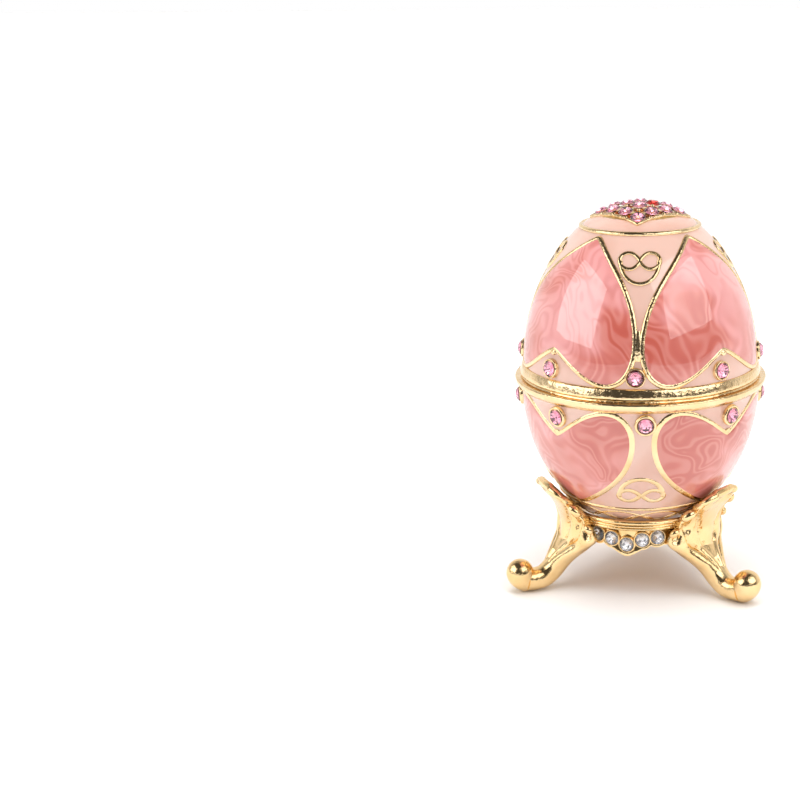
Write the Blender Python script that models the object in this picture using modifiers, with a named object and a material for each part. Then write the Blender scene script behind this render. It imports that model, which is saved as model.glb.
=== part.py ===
import math

import bmesh
import bpy
from mathutils import Matrix, Vector

# Jewelled egg trinket box on a three-legged stand. Metres, +Z up, the front towards -Y.
# The floor is at z = 0, and the egg is turned about its own upright axis.

# Egg shells
LID_RADIUS = 0.0191
LID_HEIGHT = 0.0280
BASE_RADIUS = 0.0195
BASE_DEPTH = 0.0268
BASE_FLAT_RADIUS = 0.0045
SHELL_WALL = 0.0014
SEAM_GAP = 0.0003
SEAM_ABOVE_FLOOR = 0.0356
LID_TURN = math.radians(3.7)
BASE_TURN = math.radians(9.2)
TURNED_STEPS = 32
PROFILE_STEPS = 7

# Rim bead of the lid, rim flange of the base, and the lip that keeps the lid in place
RIM_BEAD_OUT = 0.0006
RIM_BEAD_HEIGHT = 0.0018
# The bead's shoulders: how far in from its crest, as a share of its reach, and where up its height
RIM_BEAD_SHOULDER = 0.3
RIM_BEAD_MARKS = (0.85, 0.50, 0.12)
FLANGE_OUT = 0.0011
FLANGE_HEIGHT = 0.0015
FLANGE_EDGE = 0.0003
LIP_HEIGHT = 0.0010
LIP_ROOT = 0.0018
LIP_THICKNESS = 0.0007
LIP_CLEARANCE = 0.0003

# Raised lines that run round the crown and the bottom
CROWN_LINE_HEIGHT = 0.0241
BOTTOM_LINE_DEPTH = 0.0197
LINE_WIDTH = 0.0006
LINE_OUT = 0.00025

# Hearts: half width as an angle round the egg, and the heights of lobes and point above the seam
HEARTS = 4
LID_HEART_HALF_ANGLE = math.radians(41.0)
LID_HEART_LOBES = 0.0025
LID_HEART_POINT = 0.0235
BASE_HEART_HALF_ANGLE = math.radians(39.5)
BASE_HEART_LOBES = 0.0021
BASE_HEART_POINT = 0.0190
HEART_EDGE_OUT = 0.00030
HEART_MIDDLE_OUT = 0.00045
HEART_OUTLINE_STEPS = 20
HEART_LOBE_FULLNESS = 1.5
# Rings of a heart's pad, as shares of its outline round a middle that lies this far down to its point
HEART_MIDDLE = 0.42
HEART_UNDER_RINGS = (0.33, 0.66, 1.0)
HEART_FACE_RINGS = (0.90, 0.45)
# How deep a raised pad reaches into the wall
PAD_ROOT = 0.0005

# Round crystals in collets, on the egg
EGG_CRYSTAL_RADIUS = 0.00125
EGG_CRYSTAL_ROWS_HEIGHT = 0.0037
COLLET_WALL = 0.00035
COLLET_OUT = 0.00075
COLLET_ROOT = 0.0013
SEAT_CLEARANCE = 0.00010
CRYSTAL_SIDES = 8
CRYSTAL_CROWN = 0.38
CRYSTAL_TABLE = 0.55
CRYSTAL_PAVILION = 0.60

# Crown plate and its square of crystals
CROWN_ROW = 4
CROWN_CRYSTAL_RADIUS = 0.00115
CROWN_PITCH = 0.00258
CROWN_BORDER = 0.0007
CROWN_PLATE_OUT = 0.00045
CROWN_BORDER_OUT = 0.0003

# Stand: ring, aprons and legs
LEGS = 3
RING_CLEARANCE = 0.00032
RING_HALF_THICKNESS = 0.00075
RING_RADIUS = 0.0120
APRON_RADIUS = 0.0119
APRON_THICKNESS = 0.0013
APRON_DEPTH = 0.0036
APRON_CRYSTALS = 5
APRON_CRYSTAL_RADIUS = 0.00112
APRON_CRYSTAL_PITCH = math.radians(12.1)
APRON_CRYSTAL_DEPTH = 0.0025
APRON_MIDDLE_DROP = 0.0009
APRON_MARGIN = 0.00015
# The aprons' points sit a little to one side of halfway between the legs
APRON_TURN = math.radians(-3.7)
APRON_TIP = 0.0003
APRON_TIP_SLOPE = 0.65
APRON_TIP_ROUNDING = 0.0005
APRON_TOP_SETBACK = 0.00035
APRON_STEPS = 16
RING_STEPS = 6
FOOT_FLAT = 0.00025
BALL_SIDES = 12
FOOT_BALL_RADIUS = 0.00275
FOOT_REACH = 0.0213
# Half width of a palmette, as an angle round the egg, and where its creases part the five petals
FAN_HALF_ANGLE = math.radians(27.0)
FAN_CREASES = (0.50, 0.80)
FAN_CREASE_DEPTH = 0.00030
CREASE_REACH = 0.01
PETAL_CURL = 0.0005
PETAL_CURL_POWER = 3
# Each petal's arched top: heights above the ring at its inner and outer end, and the height of its arch
MIDDLE_PETAL = (0.00205, 0.00205, 0.0036)
SECOND_PETAL = (0.00175, -0.00095, 0.0012)
OUTER_PETAL = (-0.00115, -0.00285, 0.0009)
ARCH_FULLNESS = 3.5
# Stations up a leg, from inside the foot ball to the waist: how far out it is from the waist towards the
# ball's middle, how far down, half depth and half width
LEG_SHANK = (
    (0.916, 1.056, 0.00200, 0.00205),
    (0.723, 1.085, 0.00185, 0.00190),
    (0.518, 1.042, 0.00180, 0.00185),
    (0.337, 0.873, 0.00175, 0.00190),
    (0.205, 0.648, 0.00160, 0.00260),
    (0.096, 0.423, 0.00130, 0.00390),
    (0.012, 0.211, 0.00100, 0.00520),
)
# Stations up the palmette's middle. Below the ring: reach beyond the ring and height above it.
LEG_WAIST = (
    (0.0010, -0.00335),
    (0.0009, -0.00135),
)
# From the ring up: reach beyond the egg and height above the ring.
LEG_FAN = (
    (0.00237, 0.00065),
    (0.00167, 0.00235),
    (0.00163, 0.00395),
    (0.00173, 0.00565),
)
FAN_ROOT_HALF_THICKNESS = 0.00095
FAN_TIP_HALF_THICKNESS = 0.00075
FAN_ROWS = 4
FAN_ROW_CROWDING = 1.8
PETAL_STEPS = 2
# How round a section is, from an ellipse in the shank to a plate in the palmette, and the palmette's top
SHANK_ROUNDNESS = 2
FAN_ROUNDNESS = 4
FAN_TOP_ROUNDNESS = 6

BISECT_STEPS = 50
LINE_STEP = 0.05
SHARP_ANGLE = math.radians(35)
MERGE_DISTANCE = 0.000002
COLLECTION_NAME = "jewelled_egg_trinket_box"
PALE_GOLD = (0.86, 0.60, 0.25, 1.0)
ROSE_CRYSTAL = (0.85, 0.35, 0.55, 1.0)
CLEAR_CRYSTAL = (0.85, 0.87, 0.90, 1.0)


def clear_scene():
    for item in list(bpy.data.objects):
        bpy.data.objects.remove(item, do_unlink=True)


def make_collection(name, hidden=False):
    collection = bpy.data.collections.new(name)
    bpy.context.scene.collection.children.link(collection)
    collection.hide_render = hidden
    return collection


def make_material(name, colour, roughness, metallic):
    material = bpy.data.materials.new(name)
    material.use_nodes = True
    shader = material.node_tree.nodes["Principled BSDF"]
    shader.inputs["Base Color"].default_value = colour
    shader.inputs["Roughness"].default_value = roughness
    shader.inputs["Metallic"].default_value = metallic
    return material


def make_object(name, mesh, collection, material=None):
    item = bpy.data.objects.new(name, mesh)
    collection.objects.link(item)
    if material:
        mesh.materials.append(material)
    return item


def mesh_from(name, points, faces):
    mesh = bpy.data.meshes.new(name)
    mesh.from_pydata([tuple(point) for point in points], [], faces)
    tidy_mesh(mesh)
    return mesh


def tidy_mesh(mesh):
    shape = bmesh.new()
    shape.from_mesh(mesh)
    bmesh.ops.remove_doubles(shape, verts=shape.verts, dist=MERGE_DISTANCE)
    bmesh.ops.recalc_face_normals(shape, faces=shape.faces)
    shape.to_mesh(mesh)
    shape.free()


def ring_loft(name, rings, closed_length, last_cap=True):
    # Rings of equally many points, joined side by side. The ends are capped unless the loft closes on
    # itself, or its last ring is pinched shut.
    count = len(rings[0])
    points = [point for ring in rings for point in ring]
    faces = []
    last = len(rings) if closed_length else len(rings) - 1
    for row in range(last):
        here = row * count
        there = (row + 1) % len(rings) * count
        for column in range(count):
            beside = (column + 1) % count
            faces.append((here + column, here + beside, there + beside, there + column))
    if not closed_length:
        faces.append(tuple(range(count)))
    if last_cap and not closed_length:
        faces.append(tuple(range(len(points) - count, len(points))))
    return mesh_from(name, points, faces)


def slab(name, grid, low, high, place):
    # A closed plate over a grid of plan places, between two offsets from the surface.
    rows = len(grid)
    columns = len(grid[0])
    points = [place(spot, high) for row in grid for spot in row]
    points += [place(spot, low) for row in grid for spot in row]
    under = rows * columns
    faces = []
    for row in range(rows - 1):
        for column in range(columns - 1):
            corner = row * columns + column
            quad = (corner, corner + 1, corner + columns + 1, corner + columns)
            faces.append(quad)
            faces.append(tuple(under + index for index in reversed(quad)))
    edge = [column for column in range(columns)]
    edge += [row * columns + columns - 1 for row in range(1, rows)]
    edge += [(rows - 1) * columns + column for column in range(columns - 2, -1, -1)]
    edge += [row * columns for row in range(rows - 2, 0, -1)]
    for here, there in zip(edge, edge[1:] + edge[:1]):
        faces.append((here, there, under + there, under + here))
    return mesh_from(name, points, faces)


def lathe(name, profile, steps, collection):
    mesh = bpy.data.meshes.new(name)
    edges = [(index, index + 1) for index in range(len(profile) - 1)]
    if profile[0][0] > 0:
        edges.append((len(profile) - 1, 0))
    mesh.from_pydata([(radius, 0, height) for radius, height in profile], edges, [])
    turned = make_object(name, mesh, collection)
    screw = turned.modifiers.new("Screw", "SCREW")
    screw.axis = "Z"
    screw.steps = steps
    screw.render_steps = steps
    screw.use_merge_vertices = True
    screw.merge_threshold = 0.00001
    apply_modifiers(turned)
    return turned


def apply_modifiers(item):
    bpy.context.view_layer.update()
    graph = bpy.context.evaluated_depsgraph_get()
    mesh = bpy.data.meshes.new_from_object(item.evaluated_get(graph))
    item.modifiers.clear()
    item.data = mesh
    tidy_mesh(mesh)


def cut_with(item, tools, operation):
    for tool in tools:
        boolean = item.modifiers.new("Boolean", "BOOLEAN")
        boolean.operation = operation
        boolean.solver = "EXACT"
        boolean.object = tool
        apply_modifiers(item)


def cutter(name, mesh, cutters):
    item = make_object(name, mesh, cutters)
    item.hide_render = True
    item.display_type = "WIRE"
    return item


class Egg:
    # One half of the egg: half an ellipsoid above or below the seam.
    def __init__(self, radius, height, up, turn):
        self.radius = radius
        self.height = height
        self.up = up
        self.turn = turn

    def radius_at(self, rise):
        return self.radius * math.sqrt(max(0.0, 1 - (rise / self.height) ** 2))

    def rise_at(self, radius):
        return self.height * math.sqrt(max(0.0, 1 - (radius / self.radius) ** 2))

    def point(self, angle, rise, out):
        # The angle runs from the front towards +X; out is along the surface's normal.
        radius = self.radius_at(rise)
        slope = Vector((radius / self.radius**2, rise / self.height**2)).normalized()
        reach = radius + slope.x * out
        level = self.up * (rise + slope.y * out)
        whole = angle + self.turn
        return Vector((reach * math.sin(whole), -reach * math.cos(whole), level))

    def on_crown(self, spot, out):
        # A place on the dome, given in plan.
        across, along = spot
        radius = math.hypot(across, along)
        angle = math.atan2(across, -along)
        return self.point(angle, self.rise_at(radius), out)

    def frame(self, angle, rise, out):
        # A place on the surface whose own Z points straight out.
        place = self.point(angle, rise, out)
        normal = (self.point(angle, rise, out + 0.001) - place).normalized()
        return Matrix.Translation(place) @ normal.to_track_quat("Z", "Y").to_matrix().to_4x4()


LID = Egg(LID_RADIUS, LID_HEIGHT, 1, LID_TURN)
BASE = Egg(BASE_RADIUS, BASE_DEPTH, -1, BASE_TURN)


def outer_profile(egg, first_rise, last_rise, line_rise, steps):
    # From the low end of the rise to the high one, with the raised line on its way.
    points = []
    low_edge = line_rise - LINE_WIDTH / 2
    high_edge = line_rise + LINE_WIDTH / 2
    start = math.asin(first_rise / egg.height)
    end = math.asin(last_rise / egg.height)
    for step in range(steps + 1):
        rise = egg.height * math.sin(start + (end - start) * step / steps)
        if abs(rise - line_rise) > LINE_WIDTH:
            points.append((egg.radius_at(rise), rise))
    for rise, out in ((low_edge, 0), (line_rise, LINE_OUT), (high_edge, 0)):
        points.append((egg.radius_at(rise) + out, rise + out))
    return sorted(points, key=lambda point: point[1])


def inner_profile(egg, first_rise, steps):
    # Up the inside of the wall to the axis.
    radius = egg.radius - SHELL_WALL
    height = egg.height - SHELL_WALL
    start = math.asin(first_rise / height)
    points = []
    for step in range(steps + 1):
        turn = start + (math.pi / 2 - start) * step / steps
        points.append((radius * math.cos(turn), height * math.sin(turn)))
    points[-1] = (0.0, height)
    return points


def lid_profile():
    edge = SEAM_GAP / 2
    bead = RIM_BEAD_HEIGHT
    bead_radius = LID_RADIUS + RIM_BEAD_OUT
    profile = [(0.0, LID_HEIGHT)]
    top = LID.rise_at(CROWN_PITCH)
    profile += reversed(outer_profile(LID, edge + bead, top, CROWN_LINE_HEIGHT, PROFILE_STEPS))
    shoulder = bead_radius - RIM_BEAD_OUT * RIM_BEAD_SHOULDER
    for reach, mark in zip((shoulder, bead_radius, shoulder), RIM_BEAD_MARKS):
        profile.append((reach, edge + bead * mark))
    profile.append((LID_RADIUS, edge))
    profile += inner_profile(LID, edge, PROFILE_STEPS)
    return profile


def base_profile():
    edge = SEAM_GAP / 2
    flange_radius = BASE_RADIUS + FLANGE_OUT
    lip_outer = LID_RADIUS - SHELL_WALL - LIP_CLEARANCE
    lip_inner = lip_outer - LIP_THICKNESS
    flat_rise = BASE.rise_at(BASE_FLAT_RADIUS)
    inside = inner_profile(BASE, LIP_ROOT + LIP_THICKNESS, PROFILE_STEPS)
    profile = [(radius, -rise) for radius, rise in reversed(inside)]
    profile += [
        (lip_inner, -LIP_ROOT),
        (lip_inner, LIP_HEIGHT),
        (lip_outer, LIP_HEIGHT),
        (lip_outer, -edge),
        (flange_radius - FLANGE_EDGE, -edge),
        (flange_radius, -edge - FLANGE_EDGE),
        (flange_radius - FLANGE_EDGE, -edge - FLANGE_HEIGHT),
    ]
    below = edge + FLANGE_HEIGHT + FLANGE_EDGE
    outside = outer_profile(BASE, below, flat_rise, BOTTOM_LINE_DEPTH, PROFILE_STEPS)
    profile += [(radius, -rise) for radius, rise in outside]
    profile.append((0.0, -flat_rise))
    return profile


def heart_outline(half_angle, lobes, point, steps):
    # Places round the heart as angle and rise, from the cleft round to the cleft again.
    outline = []
    for step in range(steps):
        turn = 2 * math.pi * step / steps
        across = abs(math.sin(turn)) ** (HEART_LOBE_FULLNESS if math.cos(turn) > 0 else 1.0)
        swing = 13 * math.cos(turn) - 5 * math.cos(2 * turn) - 2 * math.cos(3 * turn) - math.cos(4 * turn)
        share = (12 - swing) / 29
        angle = math.copysign(half_angle * across, math.sin(turn))
        outline.append((angle, lobes + (point - lobes) * max(0.0, share)))
    return outline


def heart_pad(egg, name, centre, half_angle, lobes, point, cutters):
    outline = heart_outline(half_angle, lobes, point, HEART_OUTLINE_STEPS)
    middle_rise = lobes + (point - lobes) * HEART_MIDDLE
    rings = [(share, -PAD_ROOT) for share in HEART_UNDER_RINGS]
    rings.append((1.0, HEART_EDGE_OUT))
    rings += [(share, HEART_MIDDLE_OUT) for share in HEART_FACE_RINGS]
    loops = []
    for share, out in rings:
        loop = []
        for angle, rise in outline:
            spot = centre + angle * share
            loop.append(egg.point(spot, middle_rise + (rise - middle_rise) * share, out))
        loops.append(loop)
    return cutter(name, ring_loft(name, loops, False), cutters)


def heart_pads(egg, label, half_angle, lobes, point, cutters):
    pads = []
    for index in range(HEARTS):
        centre = math.tau * (index + 0.5) / HEARTS
        pads.append(heart_pad(egg, f"{label}_heart_{index}", centre, half_angle, lobes, point, cutters))
    return pads


def rod(name, radius, low, high, sides, frame, cutters):
    # A straight rod along the frame's own Z, between two heights.
    shape = bmesh.new()
    bmesh.ops.create_cone(
        shape, cap_ends=True, segments=sides, radius1=radius, radius2=radius, depth=high - low
    )
    bmesh.ops.translate(shape, verts=shape.verts, vec=(0, 0, (high + low) / 2))
    mesh = bpy.data.meshes.new(name)
    shape.to_mesh(mesh)
    shape.free()
    mesh.transform(frame)
    return cutter(name, mesh, cutters)


def pavilion_depth(radius):
    return radius * CRYSTAL_PAVILION


def crystal(name, radius, frame, collection, material):
    # A round cut stone: flat table, one row of crown facets, pointed below its girdle.
    rings = []
    for ring_radius, height in ((radius * CRYSTAL_TABLE, radius * CRYSTAL_CROWN), (radius, 0)):
        ring = []
        for side in range(CRYSTAL_SIDES):
            turn = math.tau * side / CRYSTAL_SIDES
            ring.append(Vector((ring_radius * math.cos(turn), ring_radius * math.sin(turn), height)))
        rings.append(ring)
    points = rings[0] + rings[1] + [Vector((0, 0, -pavilion_depth(radius)))]
    faces = [tuple(range(CRYSTAL_SIDES))]
    for side in range(CRYSTAL_SIDES):
        beside = (side + 1) % CRYSTAL_SIDES
        faces.append((side, beside, CRYSTAL_SIDES + beside, CRYSTAL_SIDES + side))
        faces.append((CRYSTAL_SIDES + side, CRYSTAL_SIDES + beside, 2 * CRYSTAL_SIDES))
    stone = make_object(name, mesh_from(name, points, faces), collection, material)
    stone.matrix_world = Matrix.Translation(EGG_CENTRE) @ frame
    return stone


def egg_crystal_places(egg):
    # Between the hearts and in their clefts, by turns.
    places = []
    for index in range(HEARTS * 2):
        angle = math.tau * index / (HEARTS * 2)
        places.append(egg.frame(angle, EGG_CRYSTAL_ROWS_HEIGHT, COLLET_OUT))
    return places


def set_crystals(shell, label, places, radius, collet_root, collection, cutters, material):
    # Collets are raised first, then every seat is cut, then the stones go in.
    pavilion = pavilion_depth(radius)
    seat_radius = radius + SEAT_CLEARANCE
    collets = []
    if collet_root:
        for index, place in enumerate(places):
            name = f"{label}_collet_{index}"
            outer = seat_radius + COLLET_WALL
            collets.append(rod(name, outer, -collet_root, 0, CRYSTAL_SIDES, place, cutters))
        cut_with(shell, collets, "UNION")
    seats = []
    for index, place in enumerate(places):
        name = f"{label}_seat_{index}"
        low = -pavilion - SEAT_CLEARANCE
        seats.append(rod(name, seat_radius, low, radius, CRYSTAL_SIDES, place, cutters))
    cut_with(shell, seats, "DIFFERENCE")
    for index, place in enumerate(places):
        crystal(f"{label}_crystal_{index + 1:02d}", radius, place, collection, material)


def square_side(half, corner, steps):
    # Places along one side of a square whose corners point front, right, back and left.
    start = math.tau * corner / 4
    end = math.tau * (corner + 1) / 4
    first = Vector((math.sin(start), -math.cos(start))) * half
    second = Vector((math.sin(end), -math.cos(end))) * half
    return [first.lerp(second, step / steps) for step in range(steps)]


def crown_plate(cutters):
    # The square plate on the crown and its raised border.
    half_side = CROWN_PITCH * CROWN_ROW / 2
    inner = half_side * math.sqrt(2)
    outer = (half_side + CROWN_BORDER) * math.sqrt(2)
    steps = CROWN_ROW + 1
    loops = []
    for corner in range(4):
        insides = square_side(inner, corner, steps)
        outsides = square_side(outer, corner, steps)
        for inside, outside in zip(insides, outsides):
            high = CROWN_PLATE_OUT + CROWN_BORDER_OUT
            loop = [LID.on_crown(inside, -PAD_ROOT), LID.on_crown(inside, high)]
            loop += [LID.on_crown(outside, high), LID.on_crown(outside, -PAD_ROOT)]
            loops.append(loop)
    border = cutter("crown_border", ring_loft("crown_border", loops, True), cutters)
    reach = half_side + CROWN_BORDER / 2
    grid = []
    for row in range(steps + 1):
        line = []
        for column in range(steps + 1):
            along = reach * (2 * row / steps - 1)
            across = reach * (2 * column / steps - 1)
            line.append(((across - along) / math.sqrt(2), (across + along) / math.sqrt(2)))
        grid.append(line)
    mesh = slab("crown_plate", grid, -PAD_ROOT, CROWN_PLATE_OUT, LID.on_crown)
    return [cutter("crown_plate", mesh, cutters), border]


def crown_crystal_places():
    places = []
    for row in range(CROWN_ROW):
        for column in range(CROWN_ROW):
            along = CROWN_PITCH * (row - (CROWN_ROW - 1) / 2)
            across = CROWN_PITCH * (column - (CROWN_ROW - 1) / 2)
            spot = ((across - along) / math.sqrt(2), (across + along) / math.sqrt(2))
            radius = math.hypot(*spot)
            angle = math.atan2(spot[0], -spot[1])
            places.append(LID.frame(angle, LID.rise_at(radius), CROWN_PLATE_OUT))
    return places


def ring_depth():
    # Depth below the seam at which the ring's bead just clears the egg all round.
    out = RING_HALF_THICKNESS + RING_CLEARANCE
    low = 0.0
    high = BASE_DEPTH
    for _ in range(BISECT_STEPS):
        middle = (low + high) / 2
        place = BASE.point(0, middle, out)
        if math.hypot(place.x, place.y) > RING_RADIUS:
            low = middle
        else:
            high = middle
    return -BASE.point(0, low, out).z


def apron_crystal_stations():
    # Angle from the apron's middle, and depth below the ring.
    half = (APRON_CRYSTALS - 1) / 2
    stations = []
    for index in range(APRON_CRYSTALS):
        from_middle = index - half
        drop = APRON_MIDDLE_DROP if from_middle == 0 else 0.0
        stations.append((APRON_CRYSTAL_PITCH * from_middle, APRON_CRYSTAL_DEPTH + drop))
    return stations


def apron_bottom(angle):
    # Depth of the apron's lower edge below the ring: a scallop under each crystal and a middle point.
    depth = APRON_DEPTH
    scallop = APRON_CRYSTAL_RADIUS + SEAT_CLEARANCE + COLLET_WALL + APRON_MARGIN
    for station, crystal_depth in apron_crystal_stations():
        along = abs(angle - station) * APRON_RADIUS
        if along < scallop:
            depth = max(depth, crystal_depth + math.sqrt(scallop**2 - along**2))
    tip = apron_crystal_stations()[APRON_CRYSTALS // 2][1] + scallop + APRON_TIP
    fall = math.hypot(angle * APRON_RADIUS * APRON_TIP_SLOPE, APRON_TIP_ROUNDING) - APRON_TIP_ROUNDING
    return max(depth, tip - fall)


def round_the_stand(angle, reach, height):
    return Vector((reach * math.sin(angle), -reach * math.cos(angle), height))


def make_apron_band(depth, cutters):
    loops = []
    top = -depth - APRON_TOP_SETBACK
    for step in range(APRON_STEPS * LEGS):
        angle = math.tau * step / (APRON_STEPS * LEGS)
        from_middle = (angle - APRON_TURN + math.pi / LEGS) % (math.tau / LEGS) - math.pi / LEGS
        bottom = -depth - apron_bottom(from_middle)
        inner = APRON_RADIUS - APRON_THICKNESS
        loop = [round_the_stand(angle, inner, top), round_the_stand(angle, inner, bottom)]
        loop += [round_the_stand(angle, APRON_RADIUS, bottom), round_the_stand(angle, APRON_RADIUS, top)]
        loops.append(loop)
    return cutter("apron_band", ring_loft("apron_band", loops, True), cutters)


def between(stations, position):
    # A smooth value between stations, from a whole number at each one.
    last = len(stations) - 1
    index = max(0, min(last - 1, int(position)))
    share = position - index
    p0 = stations[max(0, index - 1)]
    p1 = stations[index]
    p2 = stations[index + 1]
    p3 = stations[min(last, index + 2)]
    values = []
    for a, b, c, d in zip(p0, p1, p2, p3):
        square = 2 * a - 5 * b + 4 * c - d
        cube = 3 * b - a - 3 * c + d
        values.append((2 * b + (c - a) * share + square * share**2 + cube * share**3) / 2)
    return values


def leg_line(ring):
    # Reach and depth up the palmette's middle, for a ring at this depth.
    line = [(RING_RADIUS + beyond, ring - above) for beyond, above in LEG_WAIST]
    for clear, above in LEG_FAN:
        line.append((BASE.radius_at(ring - above) + clear, ring - above))
    return line


def shank_stations(waist):
    # Reach, depth, half depth and half width from inside the foot ball to just below the waist.
    foot_depth = SEAM_ABOVE_FLOOR + FOOT_FLAT - FOOT_BALL_RADIUS
    stations = []
    for out, down, half_depth, half_width in LEG_SHANK:
        reach = waist[0] + (FOOT_REACH - waist[0]) * out
        depth = waist[1] + (foot_depth - waist[1]) * down
        stations.append((reach, depth, half_depth, half_width))
    return stations


def line_position(line, depth):
    # Where the palmette's middle line reaches a depth, as a place between its stations.
    low = 0.0
    high = len(line) - 1.0
    for _ in range(BISECT_STEPS):
        middle = (low + high) / 2
        if between(line, middle)[1] > depth:
            low = middle
        else:
            high = middle
    return low


def petal_top(across):
    # Height of the palmette's top edge above the ring, as an arch over each petal.
    place = abs(across)
    if place <= FAN_CREASES[0]:
        inner, _, arch = MIDDLE_PETAL
        share = place / FAN_CREASES[0]
        return inner + arch * max(0.0, 1 - share**ARCH_FULLNESS) ** (1 / ARCH_FULLNESS)
    if place <= FAN_CREASES[1]:
        inner, outer, arch = SECOND_PETAL
        start, end = FAN_CREASES
    else:
        inner, outer, arch = OUTER_PETAL
        start, end = FAN_CREASES[1], 1.0
    share = (place - start) / (end - start)
    lift = arch * math.sqrt(max(0.0, 1 - (2 * share - 1) ** 2))
    return inner + (outer - inner) * share + lift


def fan_columns():
    # Places across the palmette from one edge to the other, closer together at the creases.
    marks = [0.0, *FAN_CREASES, 1.0]
    half = []
    for start, end in zip(marks, marks[1:]):
        for step in range(PETAL_STEPS):
            turn = math.pi * step / PETAL_STEPS
            half.append(start + (end - start) * (1 - math.cos(turn)) / 2)
    half.append(1.0)
    return [-place for place in reversed(half[1:])] + half


def leg_section(columns, place_on, half_depth, half_width, roundness, crease):
    # One closed section round a leg: the outer side from edge to edge, then the inner side back.
    outer = []
    inner = []
    for across in columns:
        bulge = half_depth * (1 - abs(across) ** roundness) ** (1 / roundness)
        groove = crease if min(abs(abs(across) - mark) for mark in FAN_CREASES) < CREASE_REACH else 0.0
        outer.append(place_on(across, half_width * across, bulge - groove))
        inner.append(place_on(across, half_width * across, -bulge))
    return outer + inner[-2:0:-1]


def leg_mesh(name, ring):
    columns = fan_columns()
    line = leg_line(ring)
    stations = shank_stations(line[0])
    loops = []
    for index, (reach, depth, half_depth, half_width) in enumerate(stations):
        before = stations[max(0, index - 1)]
        after = (stations + line)[index + 1]
        along = Vector((after[0] - before[0], before[1] - after[1])).normalized()
        normal = Vector((along.y, -along.x))
        spread = index / len(stations)

        def place_on(across, offset, bulge, reach=reach, depth=depth, normal=normal):
            out = reach + normal.x * bulge
            return round_the_stand(offset / reach, out, -depth + normal.y * bulge)

        roundness = SHANK_ROUNDNESS + (FAN_ROUNDNESS - SHANK_ROUNDNESS) * spread
        crease = FAN_CREASE_DEPTH * spread
        loops.append(leg_section(columns, place_on, half_depth, half_width, roundness, crease))
    for row in range(FAN_ROWS + 1):
        share = 1 - (1 - row / FAN_ROWS) ** FAN_ROW_CROWDING

        def place_on(across, offset, bulge, share=share):
            position = line_position(line, ring - petal_top(across)) * share
            reach, depth = between(line, position)
            ahead = between(line, position + LINE_STEP)
            along = Vector((ahead[0] - reach, depth - ahead[1])).normalized()
            curl = PETAL_CURL * share**PETAL_CURL_POWER if abs(across) > FAN_CREASES[0] else 0.0
            out = bulge + curl
            return round_the_stand(FAN_HALF_ANGLE * across, reach + along.y * out, -depth - along.x * out)

        thickness = FAN_ROOT_HALF_THICKNESS + (FAN_TIP_HALF_THICKNESS - FAN_ROOT_HALF_THICKNESS) * share
        thickness *= math.sqrt(max(0.0, 1 - share**FAN_TOP_ROUNDNESS))
        crease = FAN_CREASE_DEPTH * (1 - share**FAN_TOP_ROUNDNESS)
        loops.append(leg_section(columns, place_on, thickness, 1.0, FAN_ROUNDNESS, crease))
    return ring_loft(name, loops, False, last_cap=False)


def foot_ball(name, place, cutters):
    shape = bmesh.new()
    rows = BALL_SIDES // 2
    bmesh.ops.create_uvsphere(
        shape, u_segments=BALL_SIDES, v_segments=rows, radius=FOOT_BALL_RADIUS, matrix=place
    )
    ball = bpy.data.meshes.new(name)
    shape.to_mesh(ball)
    shape.free()
    return cutter(name, ball, cutters)


def make_stand(collection, cutters, gold, clear):
    depth = ring_depth()
    profile = []
    for step in range(RING_STEPS):
        turn = -math.tau * step / RING_STEPS
        out = RING_HALF_THICKNESS * math.cos(turn)
        profile.append((RING_RADIUS + out, -depth + RING_HALF_THICKNESS * math.sin(turn)))
    stand = lathe("stand", profile, TURNED_STEPS, collection)
    stand.data.materials.append(gold)
    parts = [make_apron_band(depth, cutters)]
    for index in range(LEGS):
        turn = Matrix.Rotation(math.tau * (index + 0.5) / LEGS, 4, "Z")
        leg = leg_mesh(f"leg_{index}", depth)
        leg.transform(turn)
        parts.append(cutter(f"leg_{index}", leg, cutters))
        ball_height = FOOT_BALL_RADIUS - FOOT_FLAT - SEAM_ABOVE_FLOOR
        ball_place = Matrix.Translation((0, -FOOT_REACH, ball_height))
        parts.append(foot_ball(f"ball_{index}", turn @ ball_place, cutters))
    cut_with(stand, parts, "UNION")
    places = []
    for apron in range(LEGS):
        for station, below in apron_crystal_stations():
            angle = math.tau * apron / LEGS + APRON_TURN + station
            spot = round_the_stand(angle, APRON_RADIUS, -depth - below)
            outward = round_the_stand(angle, 1, 0).to_track_quat("Z", "Y").to_matrix().to_4x4()
            places.append(Matrix.Translation(spot) @ outward)
    set_crystals(stand, "apron", places, APRON_CRYSTAL_RADIUS, 0, collection, cutters, clear)
    for index in range(LEGS):
        angle = math.tau * (index + 0.5) / LEGS
        spot = round_the_stand(angle, FOOT_REACH, -SEAM_ABOVE_FLOOR)
        pad_radius = FOOT_BALL_RADIUS * 2
        place = Matrix.Translation(spot)
        pad = rod(f"floor_{index}", pad_radius, -FOOT_BALL_RADIUS, 0, BALL_SIDES, place, cutters)
        cut_with(stand, [pad], "DIFFERENCE")
    return stand


def make_lid(collection, cutters, gold, rose):
    lid = lathe("egg_lid", lid_profile(), TURNED_STEPS, collection)
    lid.data.materials.append(gold)
    pads = heart_pads(LID, "lid", LID_HEART_HALF_ANGLE, LID_HEART_LOBES, LID_HEART_POINT, cutters)
    cut_with(lid, pads + crown_plate(cutters), "UNION")
    places = egg_crystal_places(LID)
    set_crystals(lid, "lid", places, EGG_CRYSTAL_RADIUS, COLLET_ROOT, collection, cutters, rose)
    set_crystals(lid, "crown", crown_crystal_places(), CROWN_CRYSTAL_RADIUS, 0, collection, cutters, rose)
    return lid


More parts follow.
